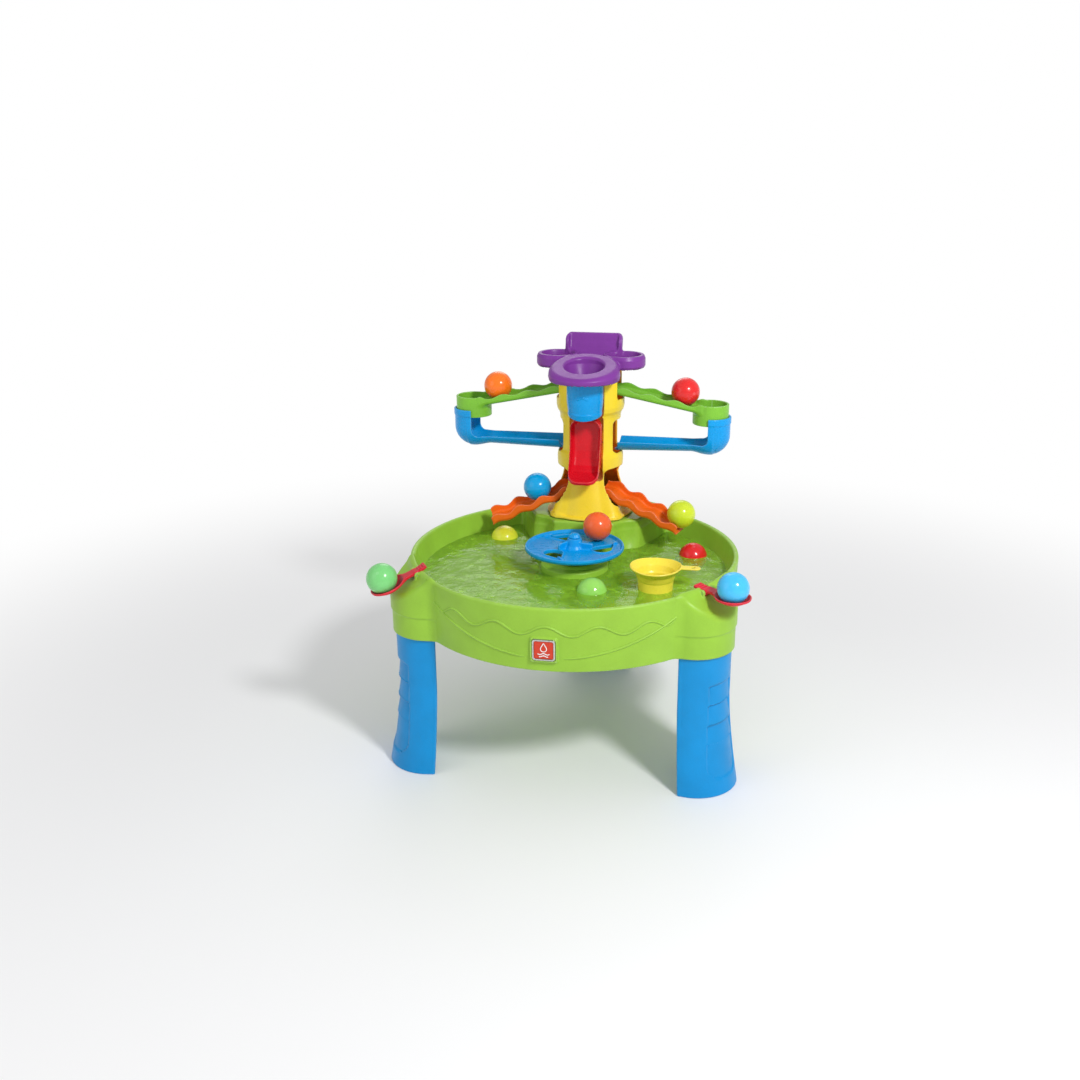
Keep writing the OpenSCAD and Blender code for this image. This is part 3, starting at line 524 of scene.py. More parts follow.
def wave(angle):
    """Height of the raised wave. It runs out into the arc at both ends."""
    weight = ease((46 - np.abs(angle - 1)) / 9)
    ripple = 426 + 10.5 * np.cos(math.tau * (angle - 0.5) / 16.8)
    return weight * ripple + (1 - weight) * smile(angle)


def raised_line(height, first, last):
    """Points and normals of a raised line on the skirt's front."""
    angles = np.linspace(first, last, 181)
    z = height(angles)
    a = np.radians(angles)
    r = skirt_radius(z)
    out = np.stack([np.sin(a), -np.cos(a), np.zeros_like(a)], 1)
    points = np.stack([r * np.sin(a), -r * np.cos(a), z], 1)
    return points, out


def add_basin():
    low, high = span("basin", BASIN)
    points, faces, normals = skin(basin, low - ROOM, high + ROOM, 3.0 * COARSE)
    all_points, all_faces, all_normals = [points], faces.tolist(), [normals]
    lines = [(smile, -46, -6.2), (smile, 6.2, 47), (wave, -43, 45)]
    for height, first, last in lines:
        where, out = raised_line(height, first, last)
        body, quads, ends = sweep(where, out, 3.0, 1.8)
        start = sum(len(p) for p in all_points)
        all_faces += [[start + i for i in f] for f in quads + ends]
        all_points.append(body)
        core = np.repeat(where, BEAD_SIDES, 0)
        out_again = body - core
        all_normals.append(out_again / np.maximum(np.linalg.norm(out_again, axis=1, keepdims=True), 1e-9))
    points, normals = np.concatenate(all_points), np.concatenate(all_normals)
    piece = add_mesh("basin_moulding", points + BASIN, all_faces, normals)
    settle(piece, "basin", LIME)


add_basin()

# ---------------------------------------------------------------- legs

LEG_T = 5.0
LEG_TOP = 372.0
LEG_HALF = 78.0
FLARE, FLARE_Z = 14.0, 220.0
STEP_TOP, STEP_PITCH, PANEL_LOW = 266.0, 48.0, 38.0


def leg(x, y, z):
    """A curved leg panel, about its own direction +X, with a recess that has steps in its upper half."""
    flare = FLARE * np.clip(1 - z / FLARE_Z, 0, 1.2) ** 1.5
    radius = LEG_R + flare
    u = x - LEG_CENTRE - flare
    angle = np.degrees(np.arctan2(y, u))
    q = np.hypot(u, y)
    along = np.radians(np.abs(angle)) * radius
    half_width = 42 + 14 * ease((230 - z) / 190)
    border = np.maximum(along - half_width, np.maximum(z - STEP_TOP, PANEL_LOW - z))
    corner = slab(along, z - (STEP_TOP + PANEL_LOW) / 2, 56, (STEP_TOP - PANEL_LOW) / 2, 34)
    inset = ease((4 - np.maximum(border, corner)) / 8)
    step = np.mod((STEP_TOP - z) / STEP_PITCH, 1.0)
    stepped = ease(np.minimum(step / 0.14, 1)) * (1 - 0.75 * step)
    stepped = np.where(z > STEP_TOP - 3 * STEP_PITCH, stepped, 0.62)
    depth = 6.0 * inset * stepped
    outer = q - radius + depth
    panel = cut(outer, q - radius + LEG_T + 0.85 * depth, 0.5)
    ends = np.radians(np.abs(angle) - LEG_HALF) * radius
    panel = meet(panel, ends, 2)
    bead = np.hypot(q - radius + 4, ends + 3.5) - 4
    panel = join(panel, bead, 3)
    panel = meet(meet(panel, -z, 2), z - LEG_TOP, 2)
    tongue = meet(np.abs(q - radius + LEG_T / 2) - LEG_T / 2, np.radians(np.abs(angle) - 40) * radius, 2)
    roof = (z - 440) * 0.8 + (x - 400) * 0.6
    tongue = meet(meet(tongue, roof, 2), LEG_TOP - 4 - z)
    return join(panel, tongue, 2)


def add_legs():
    for node, direction in (("leg_front_left", "left"), ("leg_front_right", "right"), ("leg_rear", "rear")):
        angle = LEG_DIRS[direction]

        def field(x, y, z, angle=angle):
            u, v = turned(x, y, angle)
            return leg(u, v, z)

        mould(node + "_panel", node, BASIN, field, 2.6, LEG_BLUE)


# ---------------------------------------------------------------- tower

TRUNK = [(0, 503.4), (107, 503.4), (107, 508), (98, 512), (87, 546), (73, 590), (70, 606), (73, 616),
         (80, 624), (81, 636), (81, 652), (79, 661), (75, 667), (74, 680), (74, 752), (76, 760), (81, 768),
         (83, 778), (83, 861), (0, 861)]
SHELL = 4.8
LOWER_TURN, LOWER_FALL = 15.0, 21.0
TOWER_FOOT, TOWER_HEAD = 503.4, 862.0
DECK_LOW = 869.0


def trunk(x, y, z):
    """The tower's outside, open at its foot and its head: four roots run down between the openings."""
    open_ended = [(u, v - 40 if v < 504 else v + 40 if v > 860 else v) for u, v in TRUNK]
    body = outline(np.hypot(x, y), z, open_ended, 1)
    u, v = (np.abs(x) + np.abs(y)) * math.sqrt(0.5), np.abs(np.abs(x) - np.abs(y)) * math.sqrt(0.5)
    reach = 62 + 34 * np.clip((640 - z) / 130, 0, 1.3) ** 1.6
    root = np.hypot(u - reach, v) - 11 - 7 * ease((640 - z) / 140)
    root = meet(root, z - 650, 12)
    return join(body, root, 16)


def tower(x, y, z, head):
    body = trunk(x, y, z)
    outside = meet(meet(body, z - head, 2), TOWER_FOOT - z, 2)
    shell = cut(outside, body + SHELL, 1)
    side = np.abs(x)
    notch = block(side, y, z, (40, -42, 796), (120, 42, 900), 8)
    window = block(side, y, z, (38, -41, 661), (120, 41, 743), 12)
    u, v = turned(side, y + 12, -LOWER_TURN)
    door = block(u, v, z, (52, -42, 534), (150, 42, 626), 14)
    seat = meet(np.hypot(x, y + 88) - 47, 757 - z, 4)
    slot = block(x, y, z, (-41, -130, 596), (41, -52, 760), 10)
    for opening in (notch, window, door, seat, slot):
        shell = cut(shell, opening, 1.6)
    return shell


def painted_inner_shade(x, y, z, normals):
    """1 on the tower's inner faces, 0 on its outside: the mask for the amber painted shade of the yellow
    plastic lying in shadow inside the tower.
    """
    depth = trunk(x, y, z)
    return ease((-depth - 1.0) / 2.0)


def add_tower():
    def front(x, y, z):
        return meet(tower(x, y, z, TOWER_HEAD), y + 0.15, 0.5)

    def back(x, y, z):
        shell = meet(tower(x, y, z, DECK_LOW - 0.3), 0.15 - y, 0.5)
        shelf = block(x, y, z, (-30, 8, 856), (30, 80, TOWER_HEAD), 2)
        pillar = meet(np.hypot(np.abs(x) - 18, y - 16) - 6, np.abs(z - 864) - 4.7, 1)
        return join(shell, join(shelf, pillar, 1.5), 3)

    # The shade attribute paints amber shade on the inner faces of the shells.
    mould("tower_front_shell", "tower_front", TOWER, front, 2.2, YELLOW, painted_inner_shade)
    mould("tower_back_shell", "tower_back", TOWER, back, 2.2, YELLOW, painted_inner_shade)


# ---------------------------------------------------------------- top tray, drop cup and slide

FUNNEL_Y = -100.0
RING_LOW, DECK_TOP = 850.0, 885.0
LEAN, LEAN_Z = math.radians(13.0), 889.0
SIDE_X, SIDE_Y, SIDE_HOLE = 81.0, 3.0, 39.0
FUNNEL = [(0, 800), (35, 800), (35, 856), (45, 886), (47, 940), (0, 940)]
PANEL_SHEET = [(21, 882), (28, 886), (37, 894), (46, 907), (53, 923), (58, 942), (65, 942), (65, 939),
               (60, 936), (56, 921), (49, 903), (41, 890), (32, 881)]
PANEL_END = [(9, 871), (11, 889), (25, 909), (45, 931), (58, 942), (65, 942), (65, 934), (59, 904),
             (44, 871)]
TRAY_T = 4.8


def tray_body(x, y, z, sink):
    """The tray's deck and rings as one solid. sink carries their undersides further down."""
    side = np.abs(x)
    front_r, side_r = np.hypot(x, y - FUNNEL_Y), np.hypot(side - SIDE_X, y - SIDE_Y)
    deck = block(x, y, z, (-74, -60, DECK_LOW - sink), (74, 44, DECK_TOP), 4)
    low = DECK_LOW + 2 - sink
    side_ring = [(0, low), (48, low), (51, low + 5), (51, 892), (48, 899), (43, 899), (39, 891), (0, 891)]
    low = RING_LOW + 2 - sink
    front_ring = [(0, low), (77, low), (82, low + 5), (84, 866), (82, 880), (76, 912), (0, 912)]
    rim = (z - LEAN_Z) * math.cos(LEAN) - (y - FUNNEL_Y) * math.sin(LEAN)
    body = join(deck, outline(side_r, z, side_ring, 2), 9)
    return join(body, meet(outline(front_r, z, front_ring, 2), rim, 11), 9)


def tray(x, y, z):
    side = np.abs(x)
    front_r, side_r = np.hypot(x, y - FUNNEL_Y), np.hypot(side - SIDE_X, y - SIDE_Y)
    body = tray_body(x, y, z, 0)
    sheet = meet(outline(y, z, PANEL_SHEET, 1), side - 70, 1)
    ends = meet(outline(y, z, PANEL_END, 1), np.abs(side - 66.5) - 4.5, 3)
    panel = meet(join(sheet, ends, 8), slab(x, z - 850, 71, 93, 16), 2.5)
    body = join(body, panel, 5)
    funnel = outline(front_r, z, FUNNEL, 2)
    hollow = tray_body(x, y, z, 30) + TRAY_T
    walls = np.minimum(np.minimum(funnel, side_r - SIDE_HOLE) - TRAY_T, np.hypot(side - 18, y - 16) - 7)
    body = cut(body, cut(hollow, walls, 1), 1)
    body = cut(body, funnel, 7)
    body = cut(body, side_r - SIDE_HOLE, 3.5)
    pocket = np.maximum(np.hypot(x, y) - 84.4, z - 862.4)
    pocket = np.maximum(pocket, 51 - np.hypot(x, y - FUNNEL_Y - 4))
    return cut(body, pocket, 0.6)


def drop_cup(x, y, z):
    low, high = span("drop_cup", TOWER)
    r = np.hypot(x, y + 86)
    top = high[2] - 1.4
    profile = [(0, top), (43, top), (42.4, 800), (39.6, 776), (40.6, 773), (37, 756), (0, 756)]
    outer = outline(r, z, profile, 1.4)
    outer = meet(outer, low[2] + 0.005 * x ** 2 - z, 2.5)
    inner = outline(r, z, [(0, 860), (39.6, 860), (38.8, 802), (35.8, 770), (34.2, 740), (0, 740)], 1)
    body = cut(outer, inner, 1.2)
    body = cut(body, -(y + 80), 1.5)
    ripple = 815 + 2.2 * np.cos(x / 3.2)
    line = np.hypot((z - ripple) * 0.75, np.maximum(np.abs(x) - 13, 0)) - 1.6
    raised = np.maximum(line, np.maximum(r - 43.8 - 1.0, y + 80))
    return join(body, np.maximum(raised, 38 - r), 0.8)


SLIDE_BACK = [(-48, 752), (-50, 668), (-55, 650), (-66, 634), (-84, 620), (-110, 610), (-136, 604)]
SLIDE_FRONT = [(-141, 610), (-137, 622), (-120, 640), (-104, 664), (-93, 700), (-88, 740), (-78, 752)]


def slide(x, y, z):
    side = np.abs(x)
    whole = meet(outline(y, z, SLIDE_BACK + SLIDE_FRONT), side - 39, 14)
    whole = meet(whole, slab(x, z - 652, 39, 100, 22), 3)
    whole = meet(whole, slab(x, y + 76, 39, 65, 37), 3)
    channel = [(v - 2.8, h + 1.4) for v, h in SLIDE_BACK[:4]]
    channel += [(v - 1.2, h + 2.8) for v, h in SLIDE_BACK[4:]]
    channel += [(-190, 597), (-190, 800), (-51, 800)]
    hollow = meet(outline(y, z, channel), slab(x, z - 680, 35.5, 69, 18), 12)
    return cut(whole, hollow, 1.5)


def add_top():
    mould("top_tray_moulding", "top_tray", TOWER, tray, 2.2, PURPLE)
    mould("drop_cup_moulding", "drop_cup", TOWER, drop_cup, 1.4, TOY_BLUE)
    mould("front_slide_moulding", "front_slide", TOWER, slide, 1.6, RED)


# ---------------------------------------------------------------- ramps and chutes

LOOP_X, LOOP_R, LOOP_HOLE, LOOP_LOW, LOOP_TOP = 297.0, 45.0, 38.5, 738.0, 788.0
UPPER_FLOOR, UPPER_SLOPE = 765.0, 0.2


def upper_ramp(x, y, z):
    """A trough that falls outward into a drop loop, with scalloped sides."""
    fall = math.cos(math.atan(UPPER_SLOPE))
    h = (z - UPPER_FLOOR - (LOOP_X - x) * UPPER_SLOPE) * fall
    outer = slab(y, h - 27, 38.5, 30.6, 10)
    inner = slab(y, h - 31, 35, 31, 8)
    rim = h - 15 - 3.2 * np.cos((x - 92) / 62 * math.tau)
    trough = meet(cut(outer, inner, 0.6), rim, 1.2)
    trough = meet(trough, slab(x - 164, y * 0, 112, 1), 2)
    r = np.hypot(x - LOOP_X, y)
    loop = meet(r - LOOP_R, slab(z - (LOOP_LOW + LOOP_TOP) / 2, r * 0, 25, 1), 3.5)
    body = join(trough, loop, 8)
    way_in = block(x, y, h, (225, -33, 1.5), (300, 33, 80), 5)
    body = cut(body, way_in, 2)
    return cut(body, r - LOOP_HOLE, 2.5)


CHUTE_X0, CHUTE_Z, CHUTE_R, CHUTE_T = 60.0, 703.0, 40.6, 3.6
ELBOW_R, ELBOW_Z, ELBOW_TOP, ELBOW_T = 49.1, 711.0, 757.0, 3.7
CHUTE_EDGE = 690.0


def return_chute(x, y, z):
    """A half pipe that leads back to the tower from an elbow under the drop loop."""
    axis = CHUTE_Z + (x - CHUTE_X0) * math.tan(math.radians(1.5))
    pipe = np.hypot(y, z - axis)
    length = np.maximum(CHUTE_X0 - x, x - LOOP_X)
    r = np.hypot(x - LOOP_X, y)
    below = np.hypot(r, np.minimum(z - ELBOW_Z, 0))
    collar = 1.6 * ease((z - 738) / 5)
    outer = join(np.maximum(pipe - CHUTE_R, length), meet(below - ELBOW_R - collar, z - ELBOW_TOP, 2), 14)
    inner = join(np.maximum(pipe - CHUTE_R + CHUTE_T, length - 9), below - ELBOW_R + ELBOW_T, 12)
    body = cut(outer, inner, 1)
    top = meet(x - LOOP_X + 3, CHUTE_EDGE - z, 16)
    body = cut(body, top, 1.4)
    return meet(body, CHUTE_X0 + 0.35 * np.abs(y) - x, 2)


LOWER_ORIGIN = (30.0, -16.0, 566.0)
LOWER_LEN, LOWER_WAVE, WAVE_LEN, CREST = 232.0, 3.0, 61.0, 94.0


def lower_ramp(x, y, z):
    """A wavy trough that falls outward and forward from the tower's door."""
    x, z = x - LOWER_ORIGIN[0], z - LOWER_ORIGIN[2]
    u, w = turned(x, y - LOWER_ORIGIN[1], -LOWER_TURN)
    s, h = tipped(u, z, LOWER_FALL)
    phase = (s - CREST) / WAVE_LEN * math.tau
    h = h - LOWER_WAVE * np.cos(phase)
    half = 38 + 2.5 * ease((s - 150) / 80)
    outer = slab(w * 38 / half, h - 27, 38.5, 30.6, 9)
    inner = slab(w * 38 / half, h - 31, 35, 31, 7)
    rim = h - 17.5 - 2.5 * np.cos(phase)
    trough = meet(cut(outer, inner, 0.6), rim, 1.3)
    mouth = slab(s - LOWER_LEN / 2, w, LOWER_LEN / 2, 42, 10)
    return meet(trough, mouth, 1.5)


def add_ramps():
    for side, facing in SIDES:
        mould(f"upper_ramp_{side}_moulding", f"upper_ramp_{side}", TOWER, facing(upper_ramp), 1.9, LEAF)
        mould(f"return_chute_{side}_moulding", f"return_chute_{side}", TOWER, facing(return_chute), 1.9,
              TOY_BLUE)
        mould(f"lower_ramp_{side}_moulding", f"lower_ramp_{side}", TOWER, facing(lower_ramp), 1.9, ORANGE)


# ---------------------------------------------------------------- spinner and paddles

SPINNER_Z, POST_R = 480.0, 6.0
spinner_low = span("spinner", BASIN)[0][2]
DISH = [(4, spinner_low + 1), (17, spinner_low + 1), (22, 474), (109, 475), (115, 477), (117, 481),
        (116, 486), (114, 486), (109, 480), (24, 479), (19, 487), (15.5, 503), (4, 503)]
FIN_T, FIN_REACH, FIN_SWEEP = 5.0, 92.0, 60.0


def spinner(x, y, z):
    r = np.hypot(x, y)
    body = outline(r, z, DISH, 1)
    for i in range(3):
        start = math.radians(120 * i - 35)
        middle = start + math.radians(FIN_SWEEP) * (r - 14) / FIN_REACH
        turn = np.mod(np.arctan2(y, x) - middle + math.pi, math.tau) - math.pi
        lean = np.sqrt(1 + (r * math.radians(FIN_SWEEP) / FIN_REACH) ** 2)
        thick = np.abs(turn * r) / lean - FIN_T / 2
        top = z - SPINNER_Z - 17 + 11 * ((r - 14) / FIN_REACH) ** 2
        fin = meet(meet(thick, top, 2.2), np.maximum(r - 104, 476 - z), 2)
        body = join(body, fin, 4)
        u, v = turned(x, y, 120 * i - 8)
        u, v = turned(u - 68, v, -20)
        hole = drop(u, v, 22, 2, 42)
        lip = meet(np.abs(hole - 2.2) - 2.2, np.abs(z - 479) - 4.2, 1.6)
        body = join(body, lip, 2)
        body = cut(body, hole, 1.6)
    return cut(body, r - POST_R - 0.06, 0.3)


def spinner_cap(x, y, z):
    low = span("spinner_cap", BASIN)[0][2]
    r = np.hypot(x, y)
    dome = outline(r, z - low, [(0, 1), (13, 1), (13, 3), (9.5, 8), (5, 10), (0, 10.4)], 1)
    grips = 0.5 * np.cos(6 * np.arctan2(y, x)) * ease((r - 6) / 6)
    return cut(dome + grips, np.maximum(r - POST_R, z - low - 5.4), 0.3)


BOWL_REACH, BOWL_R, BOWL_T, BOWL_DEPTH, BOWL_TOP = 68.0, 39.0, 2.5, 16.0, 5.0
CAP_R = ((BOWL_R - BOWL_T) ** 2 + BOWL_DEPTH ** 2) / (2 * BOWL_DEPTH)
PIN_R = 4.0
PADDLE_TILTS = (("left", 20.0), ("right", 0.0))


def paddle(x, y, z):
    """A bowl, a ribbed neck and a raised tail. The pivot is at the origin and +X is out to the bowl."""
    r = np.hypot(x - BOWL_REACH, y)
    ball = np.hypot(r, z - (BOWL_TOP + CAP_R - BOWL_DEPTH))
    bowl = meet(np.abs(ball - CAP_R - BOWL_T / 2) - BOWL_T / 2, z - BOWL_TOP, 0.8)
    bowl = join(bowl, np.hypot(r - BOWL_R + 2.2, z - BOWL_TOP + 2.2) - 2.8, 2)
    rise = np.where(x < 0, 0.0055 * x ** 2, 0)
    width = 12.8 - 1.2 * np.exp(-((x + 2) / 9) ** 2) + 11 * ease((x - 18) / 24)
    neck = meet(np.abs(y) - width, np.abs(z - rise - 3.4) - 3.4, 1.8)
    neck = meet(neck, slab(x - 6, y, 34, 30, 12), 2)
    ribs = slab(np.mod(x + 26, 6.4) - 3.2, z - rise - 6.8, 1.4, 1.9, 1.2)
    ribs = np.maximum(ribs, np.maximum(np.abs(y) - 9.8, np.maximum(x + 5, -26 - x)))
    neck = join(neck, ribs, 0.8)
    barrel = slab(np.hypot(x, z), np.abs(y), 7, 13, 1.2)
    body = join(join(neck, bowl, 4), barrel, 3)
    body = cut(body, np.maximum(ball - CAP_R, z - 30), 0.8)
    return cut(body, np.hypot(x, z) - PIN_R - 0.06, 0.3)


def add_spinner_and_paddles():
    mould("spinner_dish", "spinner", BASIN, spinner, 1.9, TOY_BLUE)
    mould("spinner_cap_moulding", "spinner_cap", BASIN, spinner_cap, 0.8, TOY_BLUE)
    for side, tilt in PADDLE_TILTS:
        def field(x, y, z, side=side, tilt=tilt):
            u, v = turned(x - paddle_pos[side][0], y - paddle_pos[side][1], PADDLE_DIRS[side])
            s, h = tipped(u, z - PADDLE_Z, tilt)
            return paddle(s, v, h)

        mould(f"paddle_{side}_moulding", f"paddle_{side}", BASIN, field, 1.2, PADDLE_RED)


# ---------------------------------------------------------------- loose pieces

cup_low, cup_high = span("pour_cup", BASIN)
CUP_H, BRIM_R, CROWN_R = 96.0, 60.0, 38.0


def pour_cup(x, y, z):
    """A cup like a hat, with a wavy brim and a thumb tab."""
    r = np.hypot(x, y)
    angle = np.arctan2(y, x)
    z = z - cup_low[2] - 1.5 * np.cos(2 * angle) * ease((r - 40) / 16)
    profile = [(0, 1), (CROWN_R - 5, 1), (CROWN_R - 1, 5), (CROWN_R + 2, 64), (CROWN_R + 4, 67),
               (CROWN_R + 8, 79), (BRIM_R - 2, CUP_H - 4), (BRIM_R - 1, CUP_H - 2.5), (BRIM_R - 2, CUP_H - 1),
               (CROWN_R + 6, 81.5), (CROWN_R + 1.6, 69), (CROWN_R - 1, 65), (CROWN_R - 4, 6),
               (CROWN_R - 7, 3), (0, 3)]
    body = outline(r, z, profile, 0.9)
    tab = np.hypot(np.maximum(np.maximum(BRIM_R - 4 - x, x - BRIM_R - 30), 0), y) - 11
    tab = meet(tab, np.abs(z - CUP_H + 3) - 2, 1.5)
    tab = cut(tab, r - BRIM_R + 3)
    body = join(body, tab, 2.5)
    return cut(body, np.hypot(x - BRIM_R - 24, y) - 5, 1.2)


def drain_plug(x, y, z):
    r = np.hypot(x - DRAIN[0], y - DRAIN[1])
    flange = POOL_Z + 0.4
    body = join(slab(r, z - flange - 1.5, 21, 1.5, 1), slab(r, z - flange + 4, 15.7, 5, 1), 0.8)
    ring = meet(np.hypot(x - DRAIN[0], z - flange - 8) - 9, np.abs(y - DRAIN[1]) - 2.5, 1.6)
    ring = cut(ring, np.hypot(x - DRAIN[0], z - flange - 9) - 5, 1.4)
    return join(body, cut(ring, z - flange), 1.5)


def badge_plate(x, y, z):
    """A red plate with a raised water drop over two ripples."""
    low, high = span("badge", BASIN)
    h = z - BADGE_Z
    plate = block(x, y, z, low + 0.1, high - 0.1, 1.2)
    mark = np.abs(drop(x, h - 3, 6.5, 0.6, 12)) - 0.9
    for level in (-8.5, -13.5):
        ripple = np.abs(h - level - 1.3 * np.cos(x / 2.6)) * 0.85 - 0.9
        ripple = np.maximum(ripple, np.abs(x) - 13 + (level + 8.5) * -0.6)
        mark = np.minimum(mark, ripple)
    raised = np.maximum(mark, np.abs(y - low[1] - 0.1) - 1.1)
    return join(plate, raised, 0.4)


def badge_ink(x, y, z, normals):
    """1 on the raised mark, 0 on the plate."""
    front = span("badge", BASIN)[0][1]
    return ease((front - 0.35 - y) / 0.3)


def badge_frame(x, y, z):
    low, high = span("badge_frame", BASIN)
    middle = (low + high) / 2
    half = (high - low) / 2
    depth = np.abs(y - middle[1]) - half[1]
    ring = meet(slab(x - middle[0], z - middle[2], half[0], half[2], 7), depth, 1.5)
    return cut(ring, slab(x - middle[0], z - middle[2], 21.1, 20.1, 4), 1)


BALL_R = 35.0
BALL_COLOURS = {
    "ball_paddle_left": (0.2, 0.62, 0.2),
    "ball_paddle_right": (0.06, 0.5, 0.88),
    "ball_spinner": (0.9, 0.13, 0.03),
    "ball_basin_back": (0.78, 0.8, 0.05),
    "ball_basin_front": (0.3, 0.66, 0.12),
    "ball_basin_right": (0.75, 0.015, 0.02),
    "ball_upper_left": (0.95, 0.18, 0.01),
    "ball_upper_right": (0.75, 0.02, 0.02),
    "ball_lower_left": (0.0, 0.36, 0.75),
    "ball_lower_right": (0.62, 0.74, 0.03),
}


def add_ball(node, colour, turn):
    """A blow-moulded ball, with a fine seam round it."""
    rows, columns = 48, 96
    points, faces = [], []
    for i in range(rows + 1):
        latitude = math.pi * i / rows - math.pi / 2
        for k in range(columns):
            seam = 0.22 * math.exp(-(latitude * BALL_R / 0.9) ** 2)
            radius = BALL_R - 0.15 + seam
            a = math.tau * k / columns
            level = radius * math.cos(latitude)
            points.append((level * math.cos(a), level * math.sin(a), radius * math.sin(latitude)))
    for i in range(rows):
        for k in range(columns):
            m = (k + 1) % columns
            a, b = i * columns, (i + 1) * columns
            faces.append((a + k, a + m, b + m, b + k))
    low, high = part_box(node)
    middle = np.array((low + high) / 2) / MM
    roll = Matrix.Rotation(math.radians(50 + turn), 3, "X")
    rotation = np.array(roll @ Matrix.Rotation(math.radians(turn * 2.3), 3, "Y"))
    piece = add_mesh(node + "_shell", np.array(points) @ rotation.T + middle, faces)
    settle(piece, node, plastic(node + "_plastic", colour, rough=0.22, relief=0.03, coat=0.35, soft=0.12))


add_legs()
add_tower()
add_top()
add_ramps()
add_spinner_and_paddles()
cup_centre = BASIN + np.array([cup_low[0] + BRIM_R, (cup_low[1] + cup_high[1]) / 2, 0])
mould("pour_cup_moulding", "pour_cup", cup_centre, pour_cup, 1.6, CUP_YELLOW)
mould("drain_plug_moulding", "drain_plug", BASIN, drain_plug, 1.2, TOY_BLUE)
ENAMEL = plastic("badge_enamel", (0.62, 0.05, 0.02), rough=0.3, inner=(0.82, 0.82, 0.8))
mould("badge_plate", "badge", BASIN, badge_plate, 0.55, ENAMEL, badge_ink)
mould("badge_bezel", "badge_frame", BASIN, badge_frame, 0.7, STEEL)
for number, (node, colour) in enumerate(BALL_COLOURS.items()):
    add_ball(node, colour, 31 * number)

# ---------------------------------------------------------------- stage, light and camera

# The CAD nodes that no moulding replaces are the screws, the pins, the guide and the spinner's post.
MOULDED = {"ball_guide": AMBER, "spinner_post": TOY_BLUE}
for node, cad in frame["nodes"].items():
    if not cad.hide_render:
        cad.data.materials.clear()
        cad.data.materials.append(MOULDED.get(node, STEEL))


def add_floor():
    """A pale floor that turns into the white of the studio far from the table."""
    size = 60.0
    mesh = bpy.data.meshes.new("floor")
    corners = [(-size, -size, 0), (size, -size, 0), (size, size, 0), (-size, size, 0)]
    mesh.from_pydata(corners, [], [(0, 1, 2, 3)])
    floor = bpy.data.objects.new("floor", mesh)
    bpy.context.scene.collection.objects.link(floor)
    material, tree, shader = nodes_of("pale_floor")
    shader.inputs["Base Color"].default_value = (0.86, 0.86, 0.87, 1)
    shader.inputs["Roughness"].default_value = 0.7
    where = tree.nodes.new("ShaderNodeTexCoord")
    far = tree.nodes.new("ShaderNodeVectorMath")
    far.operation = "LENGTH"
    tree.links.new(where.outputs["Object"], far.inputs[0])
    fade = tree.nodes.new("ShaderNodeMapRange")
    fade.inputs["From Min"].default_value = 0.9
    fade.inputs["From Max"].default_value = 2.6
    fade.interpolation_type = "SMOOTHSTEP"
    tree.links.new(far.outputs["Value"], fade.inputs["Value"])
    white = tree.nodes.new("ShaderNodeEmission")
    mix = tree.nodes.new("ShaderNodeMixShader")
    tree.links.new(fade.outputs["Result"], mix.inputs["Fac"])
    tree.links.new(shader.outputs["BSDF"], mix.inputs[1])
    tree.links.new(white.outputs["Emission"], mix.inputs[2])
    tree.links.new(mix.outputs["Shader"], tree.nodes["Material Output"].inputs["Surface"])
    mesh.materials.append(material)


WATER_Z, WATER_CELL = 430.0, 3.0


def water_material():
    """Stirred water, a little green, with small ripples that catch the light."""
    material, tree, shader = nodes_of("water")
    tree.nodes.remove(shader)
    bump = tree.nodes.new("ShaderNodeBump")
    bump.inputs["Strength"].default_value = 0.55
    bump.inputs["Distance"].default_value = 0.006
    tree.links.new(noise(tree, 26, 5), bump.inputs["Height"])
    clear = tree.nodes.new("ShaderNodeBsdfTransparent")
    clear.inputs["Color"].default_value = (0.96, 1.0, 0.9, 1)
    foam = tree.nodes.new("ShaderNodeBsdfDiffuse")
    foam.inputs["Color"].default_value = (0.5, 0.95, 0.06, 1)
    cloudy = tree.nodes.new("ShaderNodeMixShader")
    tree.links.new(ramp(tree, noise(tree, 55, 8), [(0.45, 0.3), (0.75, 0.5)]), cloudy.inputs["Fac"])
    tree.links.new(clear.outputs["BSDF"], cloudy.inputs[1])
    tree.links.new(foam.outputs["BSDF"], cloudy.inputs[2])
    gloss = tree.nodes.new("ShaderNodeBsdfGlossy")
    gloss.inputs["Roughness"].default_value = 0.06
    tree.links.new(bump.outputs["Normal"], gloss.inputs["Normal"])
    fresnel = tree.nodes.new("ShaderNodeFresnel")
    fresnel.inputs["IOR"].default_value = 1.33
    tree.links.new(bump.outputs["Normal"], fresnel.inputs["Normal"])
    mix = tree.nodes.new("ShaderNodeMixShader")
    tree.links.new(fresnel.outputs["Fac"], mix.inputs["Fac"])
    tree.links.new(cloudy.outputs["Shader"], mix.inputs[1])
    tree.links.new(gloss.outputs["BSDF"], mix.inputs[2])
    tree.links.new(mix.outputs["Shader"], tree.nodes["Material Output"].inputs["Surface"])
    return material


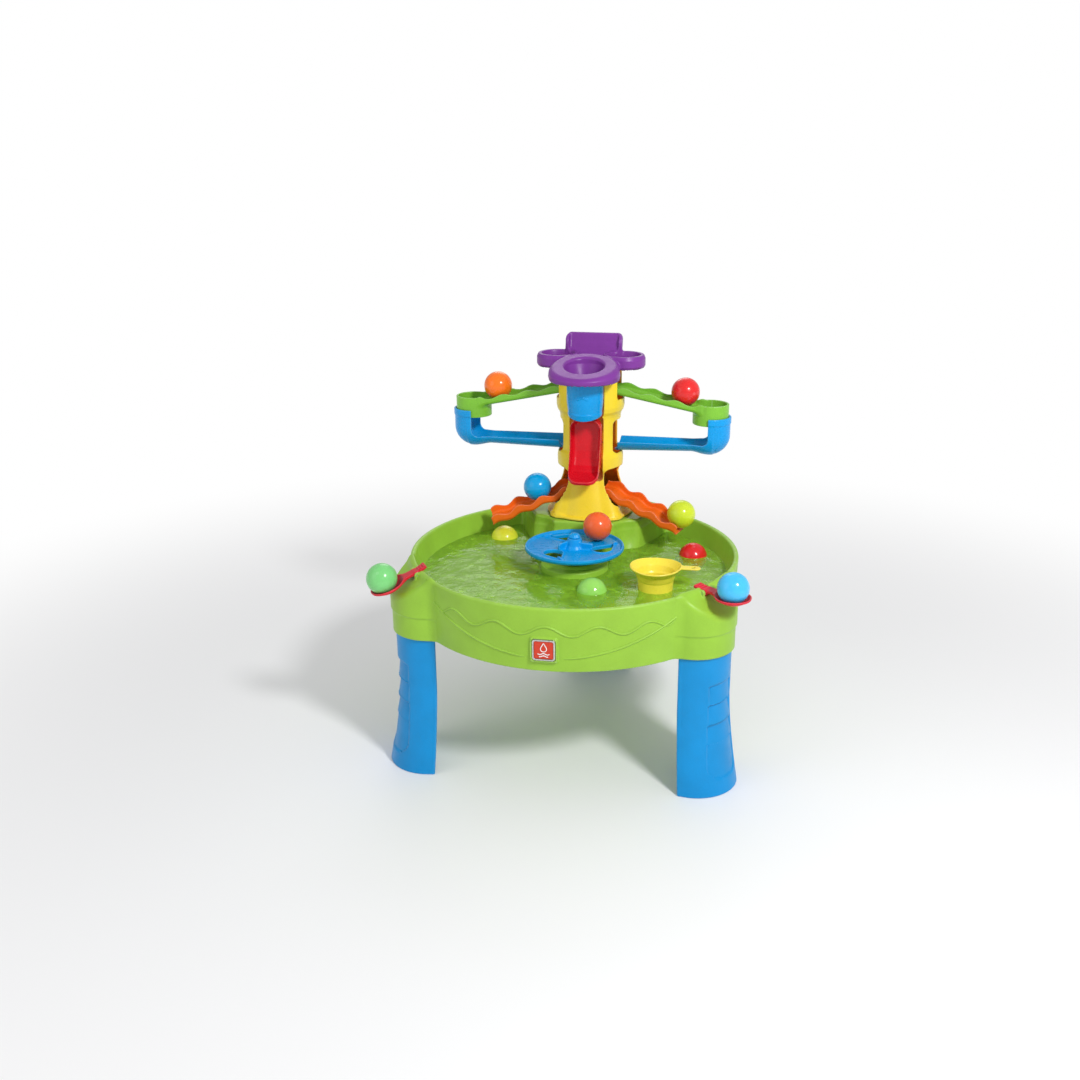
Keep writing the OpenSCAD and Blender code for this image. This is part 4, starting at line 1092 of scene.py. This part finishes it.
def add_water():
    """The water's surface, which only dresses the picture: it is part of the stage, not of the table."""
    count = int(2 * POOL_TOP_R / WATER_CELL)
    line = (np.arange(count + 1) - count / 2) * WATER_CELL
    x, y = np.meshgrid(line, line, indexing="ij")
    wet = (basin(x, y, np.full_like(x, WATER_Z)) > -2.5) & (np.hypot(x, y) < POOL_TOP_R - 8)
    wet &= hill(x, y, np.full_like(x, WATER_Z)) > -3
    wet &= outline(np.hypot(x, y), np.full_like(x, WATER_Z), PEDESTAL, 4) > -3
    i, j = np.nonzero(wet[:-1, :-1] & wet[1:, :-1] & wet[1:, 1:] & wet[:-1, 1:])
    number = np.arange(x.size).reshape(x.shape)
    faces = np.stack([number[i, j], number[i + 1, j], number[i + 1, j + 1], number[i, j + 1]], 1)
    points = np.stack([x.ravel(), y.ravel(), np.full(x.size, WATER_Z)], 1) + BASIN
    used, faces = np.unique(faces, return_inverse=True)
    surface = add_mesh("water", points[used], faces.reshape(-1, 4).tolist())
    surface.data.materials.append(water_material())


def add_light(name, place, target, size, power):
    data = bpy.data.lights.new(name, "AREA")
    data.shape = "DISK"
    data.size = size
    data.energy = power
    light = bpy.data.objects.new(name, data)
    light.location = place
    light.rotation_mode = "QUATERNION"
    light.rotation_quaternion = (Vector(target) - Vector(place)).to_track_quat("-Z", "Y")
    bpy.context.scene.collection.objects.link(light)


def add_camera():
    """The camera looks from a little to the right of the front, from above."""
    distance, azimuth, elevation = 2.8046, math.radians(9.75), math.radians(19.43)
    aim = Vector(BASIN * MM) + Vector((0, 0, 0.470))
    level = math.cos(elevation)
    back = Vector((math.sin(azimuth) * level, -math.cos(azimuth) * level, math.sin(elevation)))
    data = bpy.data.cameras.new("camera")
    data.sensor_width = 36
    data.lens = 39.3
    data.shift_x = -0.032
    data.shift_y = 0.0104
    camera = bpy.data.objects.new("camera", data)
    camera.location = aim + back * distance
    camera.rotation_mode = "QUATERNION"
    camera.rotation_quaternion = (-back).to_track_quat("-Z", "Y")
    bpy.context.scene.collection.objects.link(camera)
    bpy.context.scene.camera = camera


def add_studio():
    """A white room, which the camera sees brighter than the table does."""
    world = bpy.data.worlds.new("studio")
    world.use_nodes = True
    tree = world.node_tree
    rays = tree.nodes.new("ShaderNodeLightPath")
    level = tree.nodes.new("ShaderNodeMapRange")
    level.inputs["To Min"].default_value = 0.55
    level.inputs["To Max"].default_value = 1.0
    tree.links.new(rays.outputs["Is Camera Ray"], level.inputs["Value"])
    background = tree.nodes["Background"]
    background.inputs["Color"].default_value = (1, 1, 1, 1)
    tree.links.new(level.outputs["Result"], background.inputs["Strength"])
    bpy.context.scene.world = world


add_floor()
add_water()
add_light("key", (1.7, -1.9, 2.5), (0, 0, 0.4), 0.5, 70)
add_light("fill", (-2.6, -2.2, 2.0), (0, 0, 0.4), 2.5, 14)
add_light("back", (-0.5, 2.6, 2.4), (0, 0, 0.5), 2.0, 16)
add_studio()
bpy.context.scene.view_settings.view_transform = "Standard"
add_camera()
